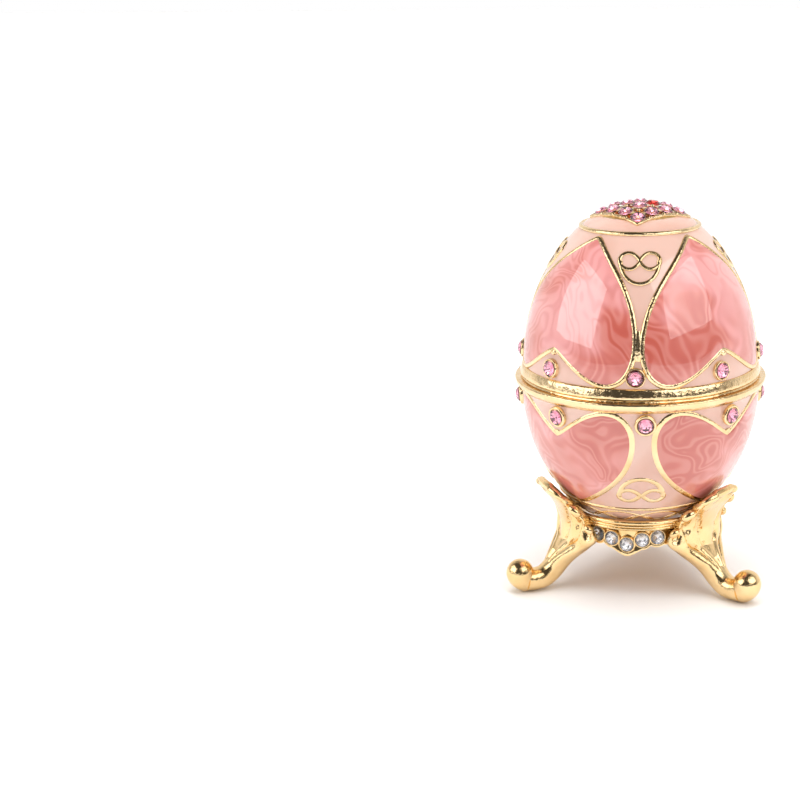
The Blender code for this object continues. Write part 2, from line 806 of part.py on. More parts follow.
def make_base(collection, cutters, gold, rose):
    base = lathe("egg_base", base_profile(), TURNED_STEPS, collection)
    base.data.materials.append(gold)
    pads = heart_pads(BASE, "base", BASE_HEART_HALF_ANGLE, BASE_HEART_LOBES, BASE_HEART_POINT, cutters)
    cut_with(base, pads, "UNION")
    places = egg_crystal_places(BASE)
    set_crystals(base, "base", places, EGG_CRYSTAL_RADIUS, COLLET_ROOT, collection, cutters, rose)
    return base


def egg_centre():
    # The egg's axis stands forward of the middle of the whole footprint, by half of what the back foot
    # reaches beyond the front of the flange.
    back = FOOT_REACH + FOOT_BALL_RADIUS
    front = BASE_RADIUS + FLANGE_OUT
    return Vector((0, (front - back) / 2, SEAM_ABOVE_FLOOR))


EGG_CENTRE = egg_centre()


def main():
    clear_scene()
    collection = make_collection(COLLECTION_NAME)
    cutters = make_collection("cutters", hidden=True)
    gold = make_material("pale_gold", PALE_GOLD, 0.12, 1.0)
    rose = make_material("rose_crystal", ROSE_CRYSTAL, 0.03, 0.0)
    clear = make_material("clear_crystal", CLEAR_CRYSTAL, 0.03, 0.0)
    lid = make_lid(collection, cutters, gold, rose)
    base = make_base(collection, cutters, gold, rose)
    stand = make_stand(collection, cutters, gold, clear)
    for piece in (lid, base, stand):
        piece.location = EGG_CENTRE
        piece.data.shade_smooth()
        piece.data.set_sharp_from_angle(angle=SHARP_ANGLE)
    bpy.context.view_layer.update()


main()
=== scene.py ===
from math import asin, atan2, copysign, cos, degrees, exp, hypot, pi, radians, sin, sqrt, tau

import bpy
from mathutils import Matrix, Vector


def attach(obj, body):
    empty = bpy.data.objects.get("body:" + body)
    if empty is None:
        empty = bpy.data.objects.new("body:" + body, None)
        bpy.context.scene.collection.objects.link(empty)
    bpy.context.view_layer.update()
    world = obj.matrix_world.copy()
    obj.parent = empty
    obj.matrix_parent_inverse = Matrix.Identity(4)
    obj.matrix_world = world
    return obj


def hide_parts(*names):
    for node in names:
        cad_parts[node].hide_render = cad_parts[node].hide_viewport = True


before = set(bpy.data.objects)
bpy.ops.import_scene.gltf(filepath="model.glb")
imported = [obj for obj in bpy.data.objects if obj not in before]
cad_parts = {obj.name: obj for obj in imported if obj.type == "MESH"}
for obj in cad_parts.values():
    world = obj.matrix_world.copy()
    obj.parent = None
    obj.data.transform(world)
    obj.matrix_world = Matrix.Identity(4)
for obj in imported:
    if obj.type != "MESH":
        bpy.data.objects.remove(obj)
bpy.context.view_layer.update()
mm = 0.001
addCircle = bpy.ops.mesh.primitive_circle_add
addGrid = bpy.ops.mesh.primitive_grid_add
addBall = bpy.ops.mesh.primitive_uv_sphere_add
print("frame loaded:", len(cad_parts), "solids")

# The two halves of the egg, in mm and degrees. Places on them are an angle from the front and a height
# from the seam, and every piece is laid out from these.
egg = {
    "axis": Vector((0, -1.725, 35.6)), "wall": 1.4, "seam": 0.15, "steps": 144,
    "crownDrop": 0.55, "crownReach": 8.8, "crownFade": 3.6,
}
lidHalf = {"name": "lid", "radius": 19.1, "height": 28.0, "up": 1, "turn": 3.7}
baseHalf = {"name": "base", "radius": 19.5, "height": 26.8, "up": -1, "turn": 9.2}


def clearSelection():
    if bpy.context.object and bpy.context.object.mode != "OBJECT":
        bpy.ops.object.mode_set(mode="OBJECT")
    bpy.ops.object.select_all(action="DESELECT")


def nameIt(piece, name):
    piece.name = name
    piece.data.name = name
    return piece


def startPiece(name, primitive, **settings):
    clearSelection()
    primitive(**settings)
    return nameIt(bpy.context.object, name)


def selectOnly(piece):
    clearSelection()
    piece.select_set(True)
    bpy.context.view_layer.objects.active = piece


def setAll(thing, **settings):
    for setting, value in settings.items():
        setattr(thing, setting, value)


def openMesh():
    bpy.ops.object.mode_set(mode="EDIT")
    bpy.ops.mesh.select_all(action="SELECT")


def closeMesh():
    # every face turned outwards, then back to object mode
    bpy.ops.mesh.select_all(action="SELECT")
    bpy.ops.mesh.normals_make_consistent(inside=False)
    bpy.ops.object.mode_set(mode="OBJECT")


def putAway(*models):
    for model in models:
        bpy.data.objects.remove(model)


def between(start, end, share):
    return start + (end - start) * share


def sharesOf(steps):
    # even shares from 0 to 1
    return [step / steps for step in range(steps + 1)]


def placeVertices(piece, rule):
    for vertex in piece.data.vertices:
        vertex.co = rule(vertex.co.copy())
    piece.data.update()


def settlePlace(piece):
    selectOnly(piece)
    bpy.ops.object.transform_apply(location=True, rotation=True, scale=True)


def weld(piece, distance=0.002):
    selectOnly(piece)
    openMesh()
    bpy.ops.mesh.remove_doubles(threshold=distance * mm)
    closeMesh()


def smooth(piece, angle):
    selectOnly(piece)
    bpy.ops.object.shade_smooth_by_angle(angle=radians(angle))


def joinUp(name, pieces):
    clearSelection()
    for piece in pieces:
        piece.select_set(True)
    bpy.context.view_layer.objects.active = pieces[0]
    bpy.ops.object.join()
    return nameIt(bpy.context.object, name)


def copyOf(piece, name, place):
    twin = piece.copy()
    twin.data = piece.data.copy()
    nameIt(twin, name)
    bpy.context.collection.objects.link(twin)
    twin.data.transform(place)
    return twin


def aboutAxis(angle):
    middle = egg["axis"] * mm
    turn = Matrix.Rotation(radians(angle), 4, "Z")
    return Matrix.Translation(middle) @ turn @ Matrix.Translation(-middle)


def standOn(place, normal):
    # own Z along the normal and own Y up
    return Matrix.Translation(place) @ normal.to_track_quat("Z", "Y").to_matrix().to_4x4()


def turnedCopies(pieces, count):
    # the same pieces again, in even steps round the egg's axis
    copies = []
    for index in range(1, count):
        copies += [copyOf(piece, piece.name, aboutAxis(360 * index / count)) for piece in pieces]
    return pieces + copies


def applyModifier(piece, kind, **settings):
    selectOnly(piece)
    bpy.ops.object.modifier_add(type=kind)
    modifier = piece.modifiers[-1]
    setAll(modifier, **settings)
    bpy.ops.object.modifier_apply(modifier=modifier.name)


def dress(piece, *materials):
    piece.data.materials.clear()
    for material in materials:
        piece.data.materials.append(material)


def finishPiece(piece, slot, *nodes):
    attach(piece, "root")
    if nodes:
        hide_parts(*nodes)


def finishGold(piece, material, angle, *nodes):
    smooth(piece, angle)
    dress(piece, material)
    finishPiece(piece, "pale_gold", *nodes)


def setStone(model, row, number, seat, spin, slot="rose_crystal"):
    stone = copyOf(model, f"{row}Stone_{number:02d}", seat @ Matrix.Rotation(spin, 4, "Z"))
    finishPiece(stone, slot, f"{row}_crystal_{number:02d}")
    return stone


def reachAt(half, rise):
    return half["radius"] * sqrt(max(0.0, 1 - (rise / half["height"]) ** 2))


def riseAt(half, reach):
    return half["height"] * sqrt(max(0.0, 1 - (reach / half["radius"]) ** 2))


def onEgg(half, angle, rise, out):
    # out is along the surface's own normal
    reach = reachAt(half, rise)
    lean = Vector((reach / half["radius"] ** 2, rise / half["height"] ** 2)).normalized()
    whole = radians(angle + half["turn"])
    radius = reach + lean.x * out
    height = half["up"] * (rise + lean.y * out)
    place = Vector((radius * sin(whole), -radius * cos(whole), height))
    return (egg["axis"] + place) * mm


def crownDrop(reach):
    # the cap under the square of stones is flatter than the rest of the dome
    share = max(0.0, min(1.0, (egg["crownReach"] - reach) / egg["crownFade"]))
    return egg["crownDrop"] * share * share * (3 - 2 * share)


def onCrown(x, y, out):
    # a place on the dome given from above
    reach = hypot(x, y)
    angle = degrees(atan2(x, -y))
    return onEgg(lidHalf, angle, riseAt(lidHalf, reach), out) - Vector((0, 0, crownDrop(reach))) * mm


def besideSpot(half, angle, rise, across, along):
    # a place some mm round the egg and some mm up its side from another
    reach = reachAt(half, rise)
    slope = (half["radius"] / half["height"]) ** 2 * rise / reach
    newRise = rise + along / hypot(1, slope)
    return angle + degrees(across / reachAt(half, newRise)), newRise


def eggFrame(half, angle, rise, out):
    place = onEgg(half, angle, rise, out)
    return standOn(place, (onEgg(half, angle, rise, out + 1) - place).normalized())


def roundStand(angle, reach, height):
    turn = radians(angle)
    return (egg["axis"] + Vector((reach * sin(turn), -reach * cos(turn), height))) * mm


def startMaterial(name, colour, **sockets):
    material = bpy.data.materials.new(name)
    material.use_nodes = True
    shader = material.node_tree.nodes["Principled BSDF"]
    shader.inputs["Base Color"].default_value = (*colour, 1)
    for socket, value in sockets.items():
        shader.inputs[socket.replace("_", " ")].default_value = value
    return material, material.node_tree, shader


def link(tree, node, links):
    for socket, source in links.items():
        tree.links.new(source, node.inputs[socket])


def addNode(tree, kind, links=None, **settings):
    # a setting is one of the node's own, or a plain value for a socket, as in To_Min or in1
    node = tree.nodes.new(f"ShaderNode{kind}")
    for setting, value in settings.items():
        if hasattr(node, setting):
            setattr(node, setting, value)
        else:
            socket = int(setting[2:]) if setting.startswith("in") else setting.replace("_", " ")
            node.inputs[socket].default_value = value
    link(tree, node, links or {})
    return node


def noise(tree, place, scale, detail, **settings):
    return addNode(tree, "TexNoise", {"Vector": place}, Scale=scale, Detail=detail, **settings)


def objectPattern(tree, scale, detail, roughness=0.55):
    place = addNode(tree, "TexCoord").outputs["Object"]
    return noise(tree, place, scale, detail, Roughness=roughness).outputs["Fac"]


def reckon(tree, operation, *sources, **settings):
    return addNode(
        tree, "Math", dict(enumerate(sources)), operation=operation, **settings
    ).outputs["Value"]


def ramp(tree, source, stops):
    node = addNode(tree, "ValToRGB", {"Fac": source})
    marks = node.color_ramp.elements
    stops = list(stops)
    while len(marks) < len(stops):
        marks.new(0.5)
    for mark, (place, colour) in zip(marks, stops):
        mark.position = place
        mark.color = (*colour, 1)
    return node.outputs["Color"]


def spread(tree, source, low, high, start=0.3, end=0.7):
    return addNode(
        tree, "MapRange", {"Value": source}, From_Min=start, From_Max=end, To_Min=low, To_Max=high
    ).outputs["Result"]


def bumps(tree, shader, layers):
    # each layer is a height, a depth in mm and a strength
    links = {}
    for height, depth, strength in layers:
        links["Height"] = height
        node = addNode(tree, "Bump", links, Distance=depth * mm, Strength=strength)
        links["Normal"] = node.outputs["Normal"]
    link(tree, shader, {"Normal": links["Normal"]})


# Patterns of the gold as noise scale, detail and roughness, and for its relief the depth in mm.
goldGrain = {
    "tone": (190, 4), "toneStops": (0.35, 0.62), "rubbed": (900, 5, 0.7),
    "relief": (((260, 2), 0.6), ((850, 2, 0.6), 0.2), ((2600, 3, 0.7), 0.05)),
}
# Each gold's two tones, its roughness from rubbed to dull, and the strength of its waves, dents and pits.
wireLook = {
    "light": (0.91, 0.70, 0.42), "deep": (0.80, 0.57, 0.30),
    "worn": (0.08, 0.20), "relief": (0.34, 0.6, 0.5),
}
castLook = {
    "light": (0.94, 0.70, 0.38), "deep": (0.85, 0.59, 0.28),
    "worn": (0.07, 0.18), "relief": (0.30, 0.40, 0.7),
}
innerLook = {
    "light": (0.80, 0.60, 0.32), "deep": (0.66, 0.46, 0.22),
    "worn": (0.28, 0.45), "relief": (0.1, 0.05, 0.4),
}


def goldMaterial(name, look):
    material, tree, shader = startMaterial(name, look["light"], Metallic=1.0)
    tone = objectPattern(tree, *goldGrain["tone"])
    colours = ramp(tree, tone, zip(goldGrain["toneStops"], (look["deep"], look["light"])))
    worn = spread(tree, objectPattern(tree, *goldGrain["rubbed"]), *look["worn"])
    link(tree, shader, {"Base Color": colours, "Roughness": worn})
    layers = []
    for (pattern, depth), strength in zip(goldGrain["relief"], look["relief"]):
        layers.append((objectPattern(tree, *pattern), depth, strength))
    bumps(tree, shader, layers)
    return material


# The enamel's glaze, then the tones of each enamel's pigment and how it was drawn into curls.
glaze = {
    "Coat_Weight": 1.0, "Coat_Roughness": 0.02, "Coat_IOR": 1.72,
    "Subsurface_Weight": 0.10, "Subsurface_Radius": (0.0012, 0.0005, 0.0004), "Subsurface_Scale": 1.0,
}
enamelStops = {"deep": 0.38, "middle": 0.49, "pale": 0.61}  # where each tone lies in the pattern
# the first two entries are the heights in metres over which painted light makes the enamel paler towards the
# top
enamelFlow = {
    "paleFrom": 0.040, "paleTo": 0.058, "fade": (0.68, 0.38), "grain": (1500, 2), "dull": (0.30, 0.45),
    "waves": (140, 1), "waveDepth": 0.4,
}
coralTones = {
    "deep": (0.58, 0.12, 0.085), "middle": (0.67, 0.19, 0.155), "pale": (0.82, 0.35, 0.34),
    "line": (0.50, 0.08, 0.06), "light": (0.90, 0.48, 0.44),
}
# lift is painted light: how much paler each enamel is painted towards the top of the egg
coralSwirl = {
    "pull": 65, "reach": 22, "zones": 85, "flow": 72, "curl": 1.2, "lines": 82,
    "faint": 0.16, "strong": 0.34, "ripple": 0.05, "lift": 0.08, "shine": 0.65,
}
creamTones = {
    "deep": (0.69, 0.38, 0.29), "middle": (0.74, 0.44, 0.345), "pale": (0.78, 0.50, 0.41),
    "line": (0.66, 0.35, 0.26), "light": (0.84, 0.58, 0.48),
}
creamSwirl = {
    "pull": 70, "reach": 14, "zones": 90, "flow": 90, "curl": 0.4, "lines": 30,
    "faint": 0.0, "strong": 0.15, "ripple": 0.04, "lift": 0.0, "shine": 0.5,
}


def enamelMaterial(name, tones, swirl):
    # clear glass over pearly pigment that was drawn into curls
    material, tree, shader = startMaterial(name, tones["middle"], Metallic=0.0, **glaze)
    place = addNode(tree, "TexCoord").outputs["Object"]
    pull = noise(tree, place, swirl["pull"], 2.0).outputs["Color"]
    shift = addNode(tree, "VectorMath", {0: pull}, operation="SCALE", Scale=swirl["reach"] * mm)
    links = {0: place, 1: shift.outputs["Vector"]}
    drawn = addNode(tree, "VectorMath", links, operation="ADD").outputs["Vector"]
    zones = noise(tree, drawn, swirl["zones"], 1.5).outputs["Fac"]
    # painted light: the colour is painted paler towards the top of the egg, where the light falls, and a
    # little deeper towards the bottom
    height = addNode(tree, "SeparateXYZ", {0: place}).outputs["Z"]
    low, high = enamelFlow["paleFrom"], enamelFlow["paleTo"]
    lift = spread(tree, height, -swirl["lift"] * 0.4, swirl["lift"], low, high)
    depth = reckon(tree, "ADD", zones, lift)
    last = ramp(tree, depth, [(stop, tones[tone]) for tone, stop in enamelStops.items()])
    # the curls follow the level lines of a second pattern
    flow = noise(tree, drawn, swirl["flow"], 1.0, Distortion=swirl["curl"]).outputs["Fac"]
    wave = reckon(tree, "SINE", reckon(tree, "MULTIPLY", flow, in1=swirl["lines"]))
    fade = spread(tree, zones, swirl["faint"], swirl["strong"], *enamelFlow["fade"])
    for tone, start, end, share in (("line", 0.0, 1.0, 1.0), ("light", 0.1, -1.0, swirl["shine"])):
        amount = reckon(tree, "MULTIPLY", spread(tree, wave, 0.0, share, start, end), fade)
        colour = (*tones[tone], 1)
        mixed = addNode(tree, "Mix", {"Factor": amount, 6: last}, data_type="RGBA", in7=colour)
        last = mixed.outputs[2]
    under = spread(tree, objectPattern(tree, *enamelFlow["grain"]), *enamelFlow["dull"])
    link(tree, shader, {"Base Color": last, "Roughness": under})
    waves = objectPattern(tree, *enamelFlow["waves"])
    bumps(tree, shader, [(waves, enamelFlow["waveDepth"], swirl["ripple"])])
    return material


glass = {"Roughness": 0.0, "Transmission_Weight": 1.0}
scratches = {"pattern": (2400, 3), "depth": 0.01, "strength": 0.15}
foil = {"crinkle": (1400, 3), "stops": (0.38, 0.6), "worn": (0.06, 0.22)}


def stoneMaterial(name, colour, ior):
    material, tree, shader = startMaterial(name, colour, IOR=ior, **glass)
    fine = objectPattern(tree, *scratches["pattern"])
    bumps(tree, shader, [(fine, scratches["depth"], scratches["strength"])])
    return material


def foilMaterial(name, light, deep, mirror):
    # crinkled foil, from all mirror at 1 to part paint
    material, tree, shader = startMaterial(name, light, Metallic=mirror)
    crinkle = objectPattern(tree, *foil["crinkle"])
    colours = ramp(tree, crinkle, zip(foil["stops"], (deep, light)))
    link(tree, shader, {"Base Color": colours, "Roughness": spread(tree, crinkle, *foil["worn"])})
    return material


wireGold = goldMaterial("wireGold", wireLook)
castGold = goldMaterial("castGold", castLook)
innerGold = goldMaterial("innerGold", innerLook)
coralEnamel = enamelMaterial("coralEnamel", coralTones, coralSwirl)
creamEnamel = enamelMaterial("creamEnamel", creamTones, creamSwirl)
roseGlass = stoneMaterial("roseGlass", (0.98, 0.62, 0.72), 1.6)
rubyGlass = stoneMaterial("rubyGlass", (0.70, 0.06, 0.05), 1.6)
clearGlass = stoneMaterial("clearGlass", (0.99, 0.99, 1.0), 1.62)
roseFoil = foilMaterial("roseFoil", (0.98, 0.78, 0.84), (0.85, 0.52, 0.62), 1.0)
silverFoil = foilMaterial("silverFoil", (1.0, 1.0, 1.0), (0.86, 0.85, 0.90), 0.85)
print("materials made")


def turnShape(name, outline, steps):
    # a circle drawn out to the outline of reach and height, then spun round the egg's axis
    piece = startPiece(name, addCircle, vertices=len(outline), radius=mm)
    for vertex, (reach, height) in zip(piece.data.vertices, outline):
        vertex.co = (egg["axis"] + Vector((reach, 0, height))) * mm
    bpy.ops.object.mode_set(mode="EDIT")
    bpy.ops.mesh.select_mode(type="EDGE")
    bpy.ops.mesh.select_all(action="DESELECT")
    bpy.ops.object.mode_set(mode="OBJECT")
    for edge in piece.data.edges:
        edge.select = all(outline[index][0] == 0 for index in edge.vertices)  # it would run along the axis
    bpy.ops.object.mode_set(mode="EDIT")
    bpy.ops.mesh.delete(type="EDGE")
    bpy.ops.mesh.select_mode(type="VERT")
    bpy.ops.mesh.select_all(action="SELECT")
    bpy.ops.mesh.spin(steps=steps, angle=tau, center=egg["axis"] * mm, axis=(0, 0, 1))
    bpy.ops.object.mode_set(mode="OBJECT")
    weld(piece)
    return piece


def shellSide(half, start, end, steps, inset=0.0):
    # up one side of the wall, closer together towards the pole
    radius = half["radius"] - inset
    height = half["height"] - inset
    low = asin(start / height)
    high = asin(min(1.0, end / height))
    turns = [between(low, high, share) for share in sharesOf(steps)]
    return [(radius * cos(turn), height * sin(turn)) for turn in turns]


lidShape = {
    "bead": (
        (0.08, 1.93), (0.20, 1.87), (0.33, 1.70), (0.42, 1.46), (0.49, 1.20), (0.56, 0.94), (0.62, 0.68),
        (0.63, 0.46), (0.58, 0.26), (0.45, 0.15), (-0.10, 0.15),
    ),
    "sideSteps": 44,
}
baseShape = {
    "flangeOut": 1.1, "edge": 0.32, "edgeSteps": 4, "bandLow": 1.85, "band": (0.35, 0.6, 0.8, 0.92, 1.0),
    "bandCurve": 2.2, "lipHeight": 1.0, "lipRoot": 1.8, "lipWall": 0.7, "lipGap": 0.3, "lipEdge": 0.1,
    "seat": 0.09, "seatOut": (1.95, 2.1), "flatRadius": 4.5, "sideSteps": 40,
}


def paintShell(piece, half, enamelFrom, wallInside):
    # gold all over, and cream enamel on the outer side beyond the rim
    dress(piece, innerGold, creamEnamel, wireGold)
    for face in piece.data.polygons:
        spot = face.center / mm - egg["axis"]
        rise = spot.z * half["up"]
        reach = hypot(spot.x, spot.y)
        middle = reachAt(half, min(rise, half["height"])) - wallInside / 2
        outside = reach > middle or rise > half["height"] - wallInside / 2
        if outside and rise > enamelFrom:
            face.material_index = 1
        elif outside:
            face.material_index = 2


def makeLidShell():
    low = egg["seam"]
    start = lidShape["bead"][0][1] + 0.02
    outer = shellSide(lidHalf, start, lidHalf["height"], lidShape["sideSteps"])
    outline = [(reach, rise - crownDrop(reach)) for reach, rise in reversed(outer)]
    outline[0] = (0.0, outline[0][1])
    outline += [(lidHalf["radius"] + out, rise) for out, rise in lidShape["bead"]]
    top = lidHalf["height"] - egg["wall"]
    inner = shellSide(lidHalf, low, top, lidShape["sideSteps"] // 2, egg["wall"])
    inner[-1] = (0.0, top)
    outline += [(reach, rise - crownDrop(reach)) for reach, rise in inner]
    piece = turnShape("lidShell", outline, egg["steps"])
    paintShell(piece, lidHalf, start, egg["wall"])
    smooth(piece, 50)
    return piece


def makeBaseShell():
    low = egg["seam"]
    flange = baseHalf["radius"] + baseShape["flangeOut"]
    lipOuter = lidHalf["radius"] - egg["wall"] - baseShape["lipGap"]
    lipInner = lipOuter - baseShape["lipWall"]
    flatRise = riseAt(baseHalf, baseShape["flatRadius"])
    start = baseShape["lipRoot"] + baseShape["lipWall"]
    inside = baseHalf["height"] - egg["wall"]
    inner = shellSide(baseHalf, start, inside, baseShape["sideSteps"] // 2, egg["wall"])
    outline = [(reach, -rise) for reach, rise in reversed(inner)]
    outline[0] = (0.0, -inside)
    lipTop = baseShape["lipHeight"]
    edge = baseShape["lipEdge"]
    outline += [(lipInner, -baseShape["lipRoot"]), (lipInner, lipTop - edge), (lipInner + edge, lipTop)]
    outline += [(lipOuter - edge, lipTop), (lipOuter, lipTop - edge)]
    seat = baseShape["seat"]
    seatStart, seatEnd = baseShape["seatOut"]
    outline += [(lipOuter, seat), (lipOuter + seatStart, seat), (lipOuter + seatEnd, -low)]
    edge = baseShape["edge"]
    for share in sharesOf(baseShape["edgeSteps"]):
        turn = pi / 2 * share
        outline.append((flange - edge + edge * sin(turn), -low - edge + edge * cos(turn)))
    band = baseShape["bandLow"]
    for share in baseShape["band"]:
        reach = flange - (flange - reachAt(baseHalf, band) - 0.1) * share ** baseShape["bandCurve"]
        outline.append((reach, -low - edge - (band - low - edge) * share))
    outer = shellSide(baseHalf, band + 0.12, flatRise, baseShape["sideSteps"])
    outline += [(reach, -rise) for reach, rise in outer]
    outline.append((0.0, -flatRise))
    piece = turnShape("baseShell", outline, egg["steps"])
    paintShell(piece, baseHalf, band, egg["wall"])
    smooth(piece, 50)
    return piece


lidShell = makeLidShell()
baseShell = makeBaseShell()
finishPiece(lidShell, "pale_gold", "egg_lid")
finishPiece(baseShell, "pale_gold", "egg_base")
print("shells turned:", len(lidShell.data.polygons) + len(baseShell.data.polygons), "faces")


def layWire(name, places, radius, closed=True, swell=None):
    # a round wire through places
    wire = startPiece(name, bpy.ops.curve.primitive_bezier_curve_add)
    setAll(wire.data, dimensions="3D", bevel_depth=radius * mm, bevel_resolution=3, use_fill_caps=True)
    wire.data.splines.clear()
    spline = wire.data.splines.new("POLY")
    spline.points.add(len(places) - 1)
    for index, place in enumerate(places):
        spline.points[index].co = (*place, 1)
        spline.points[index].radius = swell[index] if swell else 1.0
    spline.use_cyclic_u = closed
    bpy.ops.object.convert(target="MESH")
    piece = nameIt(bpy.context.object, name)
    settlePlace(piece)
    weld(piece, 0.001)
    return piece


def wireOnEgg(name, half, line, radius, flat, closed=True, swell=None):
    # a wire through angles and rises, half let into the shell, and what stands out is pressed flatter
    wire = layWire(name, [onEgg(half, angle, rise, 0.0) for angle, rise in line], radius, closed, swell)

    def press(spot):
        away = spot / mm - egg["axis"]
        across = (away.x ** 2 + away.y ** 2) / half["radius"] ** 2
        ground = away / sqrt(across + (away.z / half["height"]) ** 2)
        return (egg["axis"] + ground + (away - ground) * flat) * mm

    placeVertices(wire, press)
    return wire


def heartOutline(heart, steps):
    # angle and rise round the heart by the well-known heart curve, from the cleft round to the cleft again
    outline = []
    for step in range(steps):
        turn = tau * step / steps
        full = 1.5 if cos(turn) > 0 else 1.0 + 0.35 * cos(turn) ** 4
        across = abs(sin(turn)) ** full
        swing = 13 * cos(turn) - 5 * cos(2 * turn) - 2 * cos(3 * turn) - cos(4 * turn)
        share = max(0.0, (12 - swing) / 29) + heart["cleft"] * exp(-((1 - cos(turn)) / 0.12))
        lean = heart["lean"] * share ** 2
        angle = copysign(heart["halfAngle"] * across, sin(turn)) + lean
        outline.append((angle, between(heart["lobes"], heart["point"], share)))
    return outline


lidHearts = {
    "halfAngle": 42.9, "lobes": 2.15, "point": 23.5, "shift": 1.8, "leans": (1.6, 1.6, 1.6, 8.0),
    "cleft": -0.02, "wire": 0.45, "flat": 0.62, "edgeOut": 0.02, "midOut": 0.42, "middle": 0.42,
}
baseHearts = {
    "halfAngle": 39.5, "lobes": 2.1, "point": 19.0, "shift": -1.0, "leans": (0.0, 0.0, 0.0, 0.0),
    "cleft": 0.045, "wire": 0.53, "flat": 0.32, "edgeOut": 0.02, "midOut": 0.34, "middle": 0.42,
}


def heartPlan(hearts, index, steps=144):
    # the heart right of the front, with the lean of the one that it will be turned to
    return 45 + hearts["shift"], heartOutline(dict(hearts, lean=hearts["leans"][index]), steps)


def layHearts(hearts, make):
    # hearts with the same lean are made once and copied
    models = {}
    placed = []
    for index, lean in enumerate(hearts["leans"]):
        if lean not in models:
            models[lean] = make(index)
        placed.append(copyOf(models[lean], models[lean].name, aboutAxis(90 * index)))
    putAway(*models.values())
    return placed


def makeHeartWires(half, hearts):
    def make(index):
        centre, outline = heartPlan(hearts, index)
        line = [(centre + angle, rise) for angle, rise in outline]
        return wireOnEgg(f"{half['name']}HeartWire", half, line, hearts["wire"], hearts["flat"])

    return layHearts(hearts, make)


def makeHeartPads(half, hearts):
    # a ball pressed to a domed cushion of enamel, round in the heart's outline
    steps, rows = 144, 28
    low, high = hearts["edgeOut"], hearts["midOut"]
    middle = between(hearts["lobes"], hearts["point"], hearts["middle"])

    def make(index):
        centre, outline = heartPlan(hearts, index, steps)
        lean = hearts["leans"][index] * hearts["middle"] ** 2
        pad = startPiece("heartPad", addBall, segments=steps, ring_count=rows, radius=1.0)

        def press(spot):
            step = round(atan2(spot.y, spot.x) / tau * steps) % steps
            latitude = asin(max(-1.0, min(1.0, spot.z)))
            share = cos(latitude) ** 0.8
            angle, rise = outline[step]
            if spot.z >= 0:
                out = between(low, high, sqrt(max(0.0, 1 - share ** 5)))
            else:
                out = low - 0.4 * abs(spot.z) ** 0.5
            return onEgg(half, centre + between(lean, angle, share), between(middle, rise, share), out)

        placeVertices(pad, press)
        weld(pad, 0.0005)
        smooth(pad, 60)
        dress(pad, coralEnamel)
        return pad

    return layHearts(hearts, make)


for half, hearts in ((lidHalf, lidHearts), (baseHalf, baseHearts)):
    for index, pad in enumerate(makeHeartPads(half, hearts)):
        finishPiece(nameIt(pad, f"{half['name']}Heart_{index + 1}"), "pale_gold")
print("enamel hearts pressed")

lidKnot = {
    "angle": 2.9, "rise": 20.0, "wire": 0.33, "flat": 0.75,
    "eye": (1.65, 0.85, 1.50, 1.36), "bow": (0.50, 2.95, -3.50),
}
baseKnot = {
    "angle": -1.8, "rise": 16.6, "wire": 0.38, "flat": 0.32,
    "eye": (2.00, 0.05, 1.60, 1.25), "bow": (0.10, 3.45, 3.70),
}
knotSteps = {"eye": 44, "bow": 40, "pinch": 0.10, "narrow": 0.35}


def knotLoops(knot):
    # two eyes that touch, and a bow from side to side round them, in mm about the knot's own middle
    across, along, wide, tall = knot["eye"]
    loops = []
    for side in (-1, 1):
        eye = []
        for step in range(knotSteps["eye"]):
            turn = tau * step / knotSteps["eye"]
            inward = max(0.0, -cos(turn)) ** 3
            reach = across + wide * cos(turn) * (1 + knotSteps["pinch"] * inward)
            eye.append((side * reach, along + tall * sin(turn) * (1 - knotSteps["narrow"] * inward)))
        loops.append((eye, True))
    start, wide, deep = knot["bow"]
    bow = []
    for share in sharesOf(knotSteps["bow"]):
        turn = pi * (share * 1.06 - 0.03)  # a little past a half turn
        bow.append((wide * cos(turn), start + deep * sin(turn)))
    loops.append((bow, False))
    return loops


def makeKnots(half, knot):
    wires = []
    angle, rise = knot["angle"], knot["rise"]
    for loop, closed in knotLoops(knot):
        line = [besideSpot(half, angle, rise, across, along * half["up"]) for across, along in loop]
        wires.append(wireOnEgg("knotWire", half, line, knot["wire"], knot["flat"], closed))
    return turnedCopies(wires, 4)


# the wedge's angle, the rises it runs between, wire and flatness; the drop's wire, swelling, start and pace
fills = {
    "wedge": (1.9, 10.8, 6.2, 0.72, 0.40), "wedgeSteps": 14,
    "drop": 0.75, "dropSwell": (0.6, 0.95, 0.85, 0.5), "dropFrom": -0.9, "dropPace": 0.3,
}


def makeWedges():
    # where two lid hearts meet, the gold between them is solid for a short way
    angle, high, low, wire, flat = fills["wedge"]
    shares = sharesOf(fills["wedgeSteps"])
    line = [(angle, between(high, low, share)) for share in shares]
    swell = [0.5 + 0.5 * sin(pi * share) for share in shares]
    return turnedCopies([wireOnEgg("wedgeFill", lidHalf, line, wire, flat, False, swell)], 4)


def makeClefts(half, hearts):
    # a drop of gold fills the corner in every cleft
    centre, outline = heartPlan(hearts, 0)
    angle, rise = outline[0]
    swell = fills["dropSwell"]
    rises = [rise + fills["dropFrom"] + fills["dropPace"] * step for step in range(len(swell))]
    line = [(centre + angle, place) for place in rises]
    drop = wireOnEgg("cleftFill", half, line, fills["drop"], hearts["flat"], False, swell)
    return turnedCopies([drop], 4)


leaves = {
    "count": 12, "turn": -2.5, "tip": 20.9, "top": 20.15, "low": 22.1, "underTop": 21.0, "underLow": 23.2,
    "wire": 0.24, "flat": 0.5, "steps": 16,
}


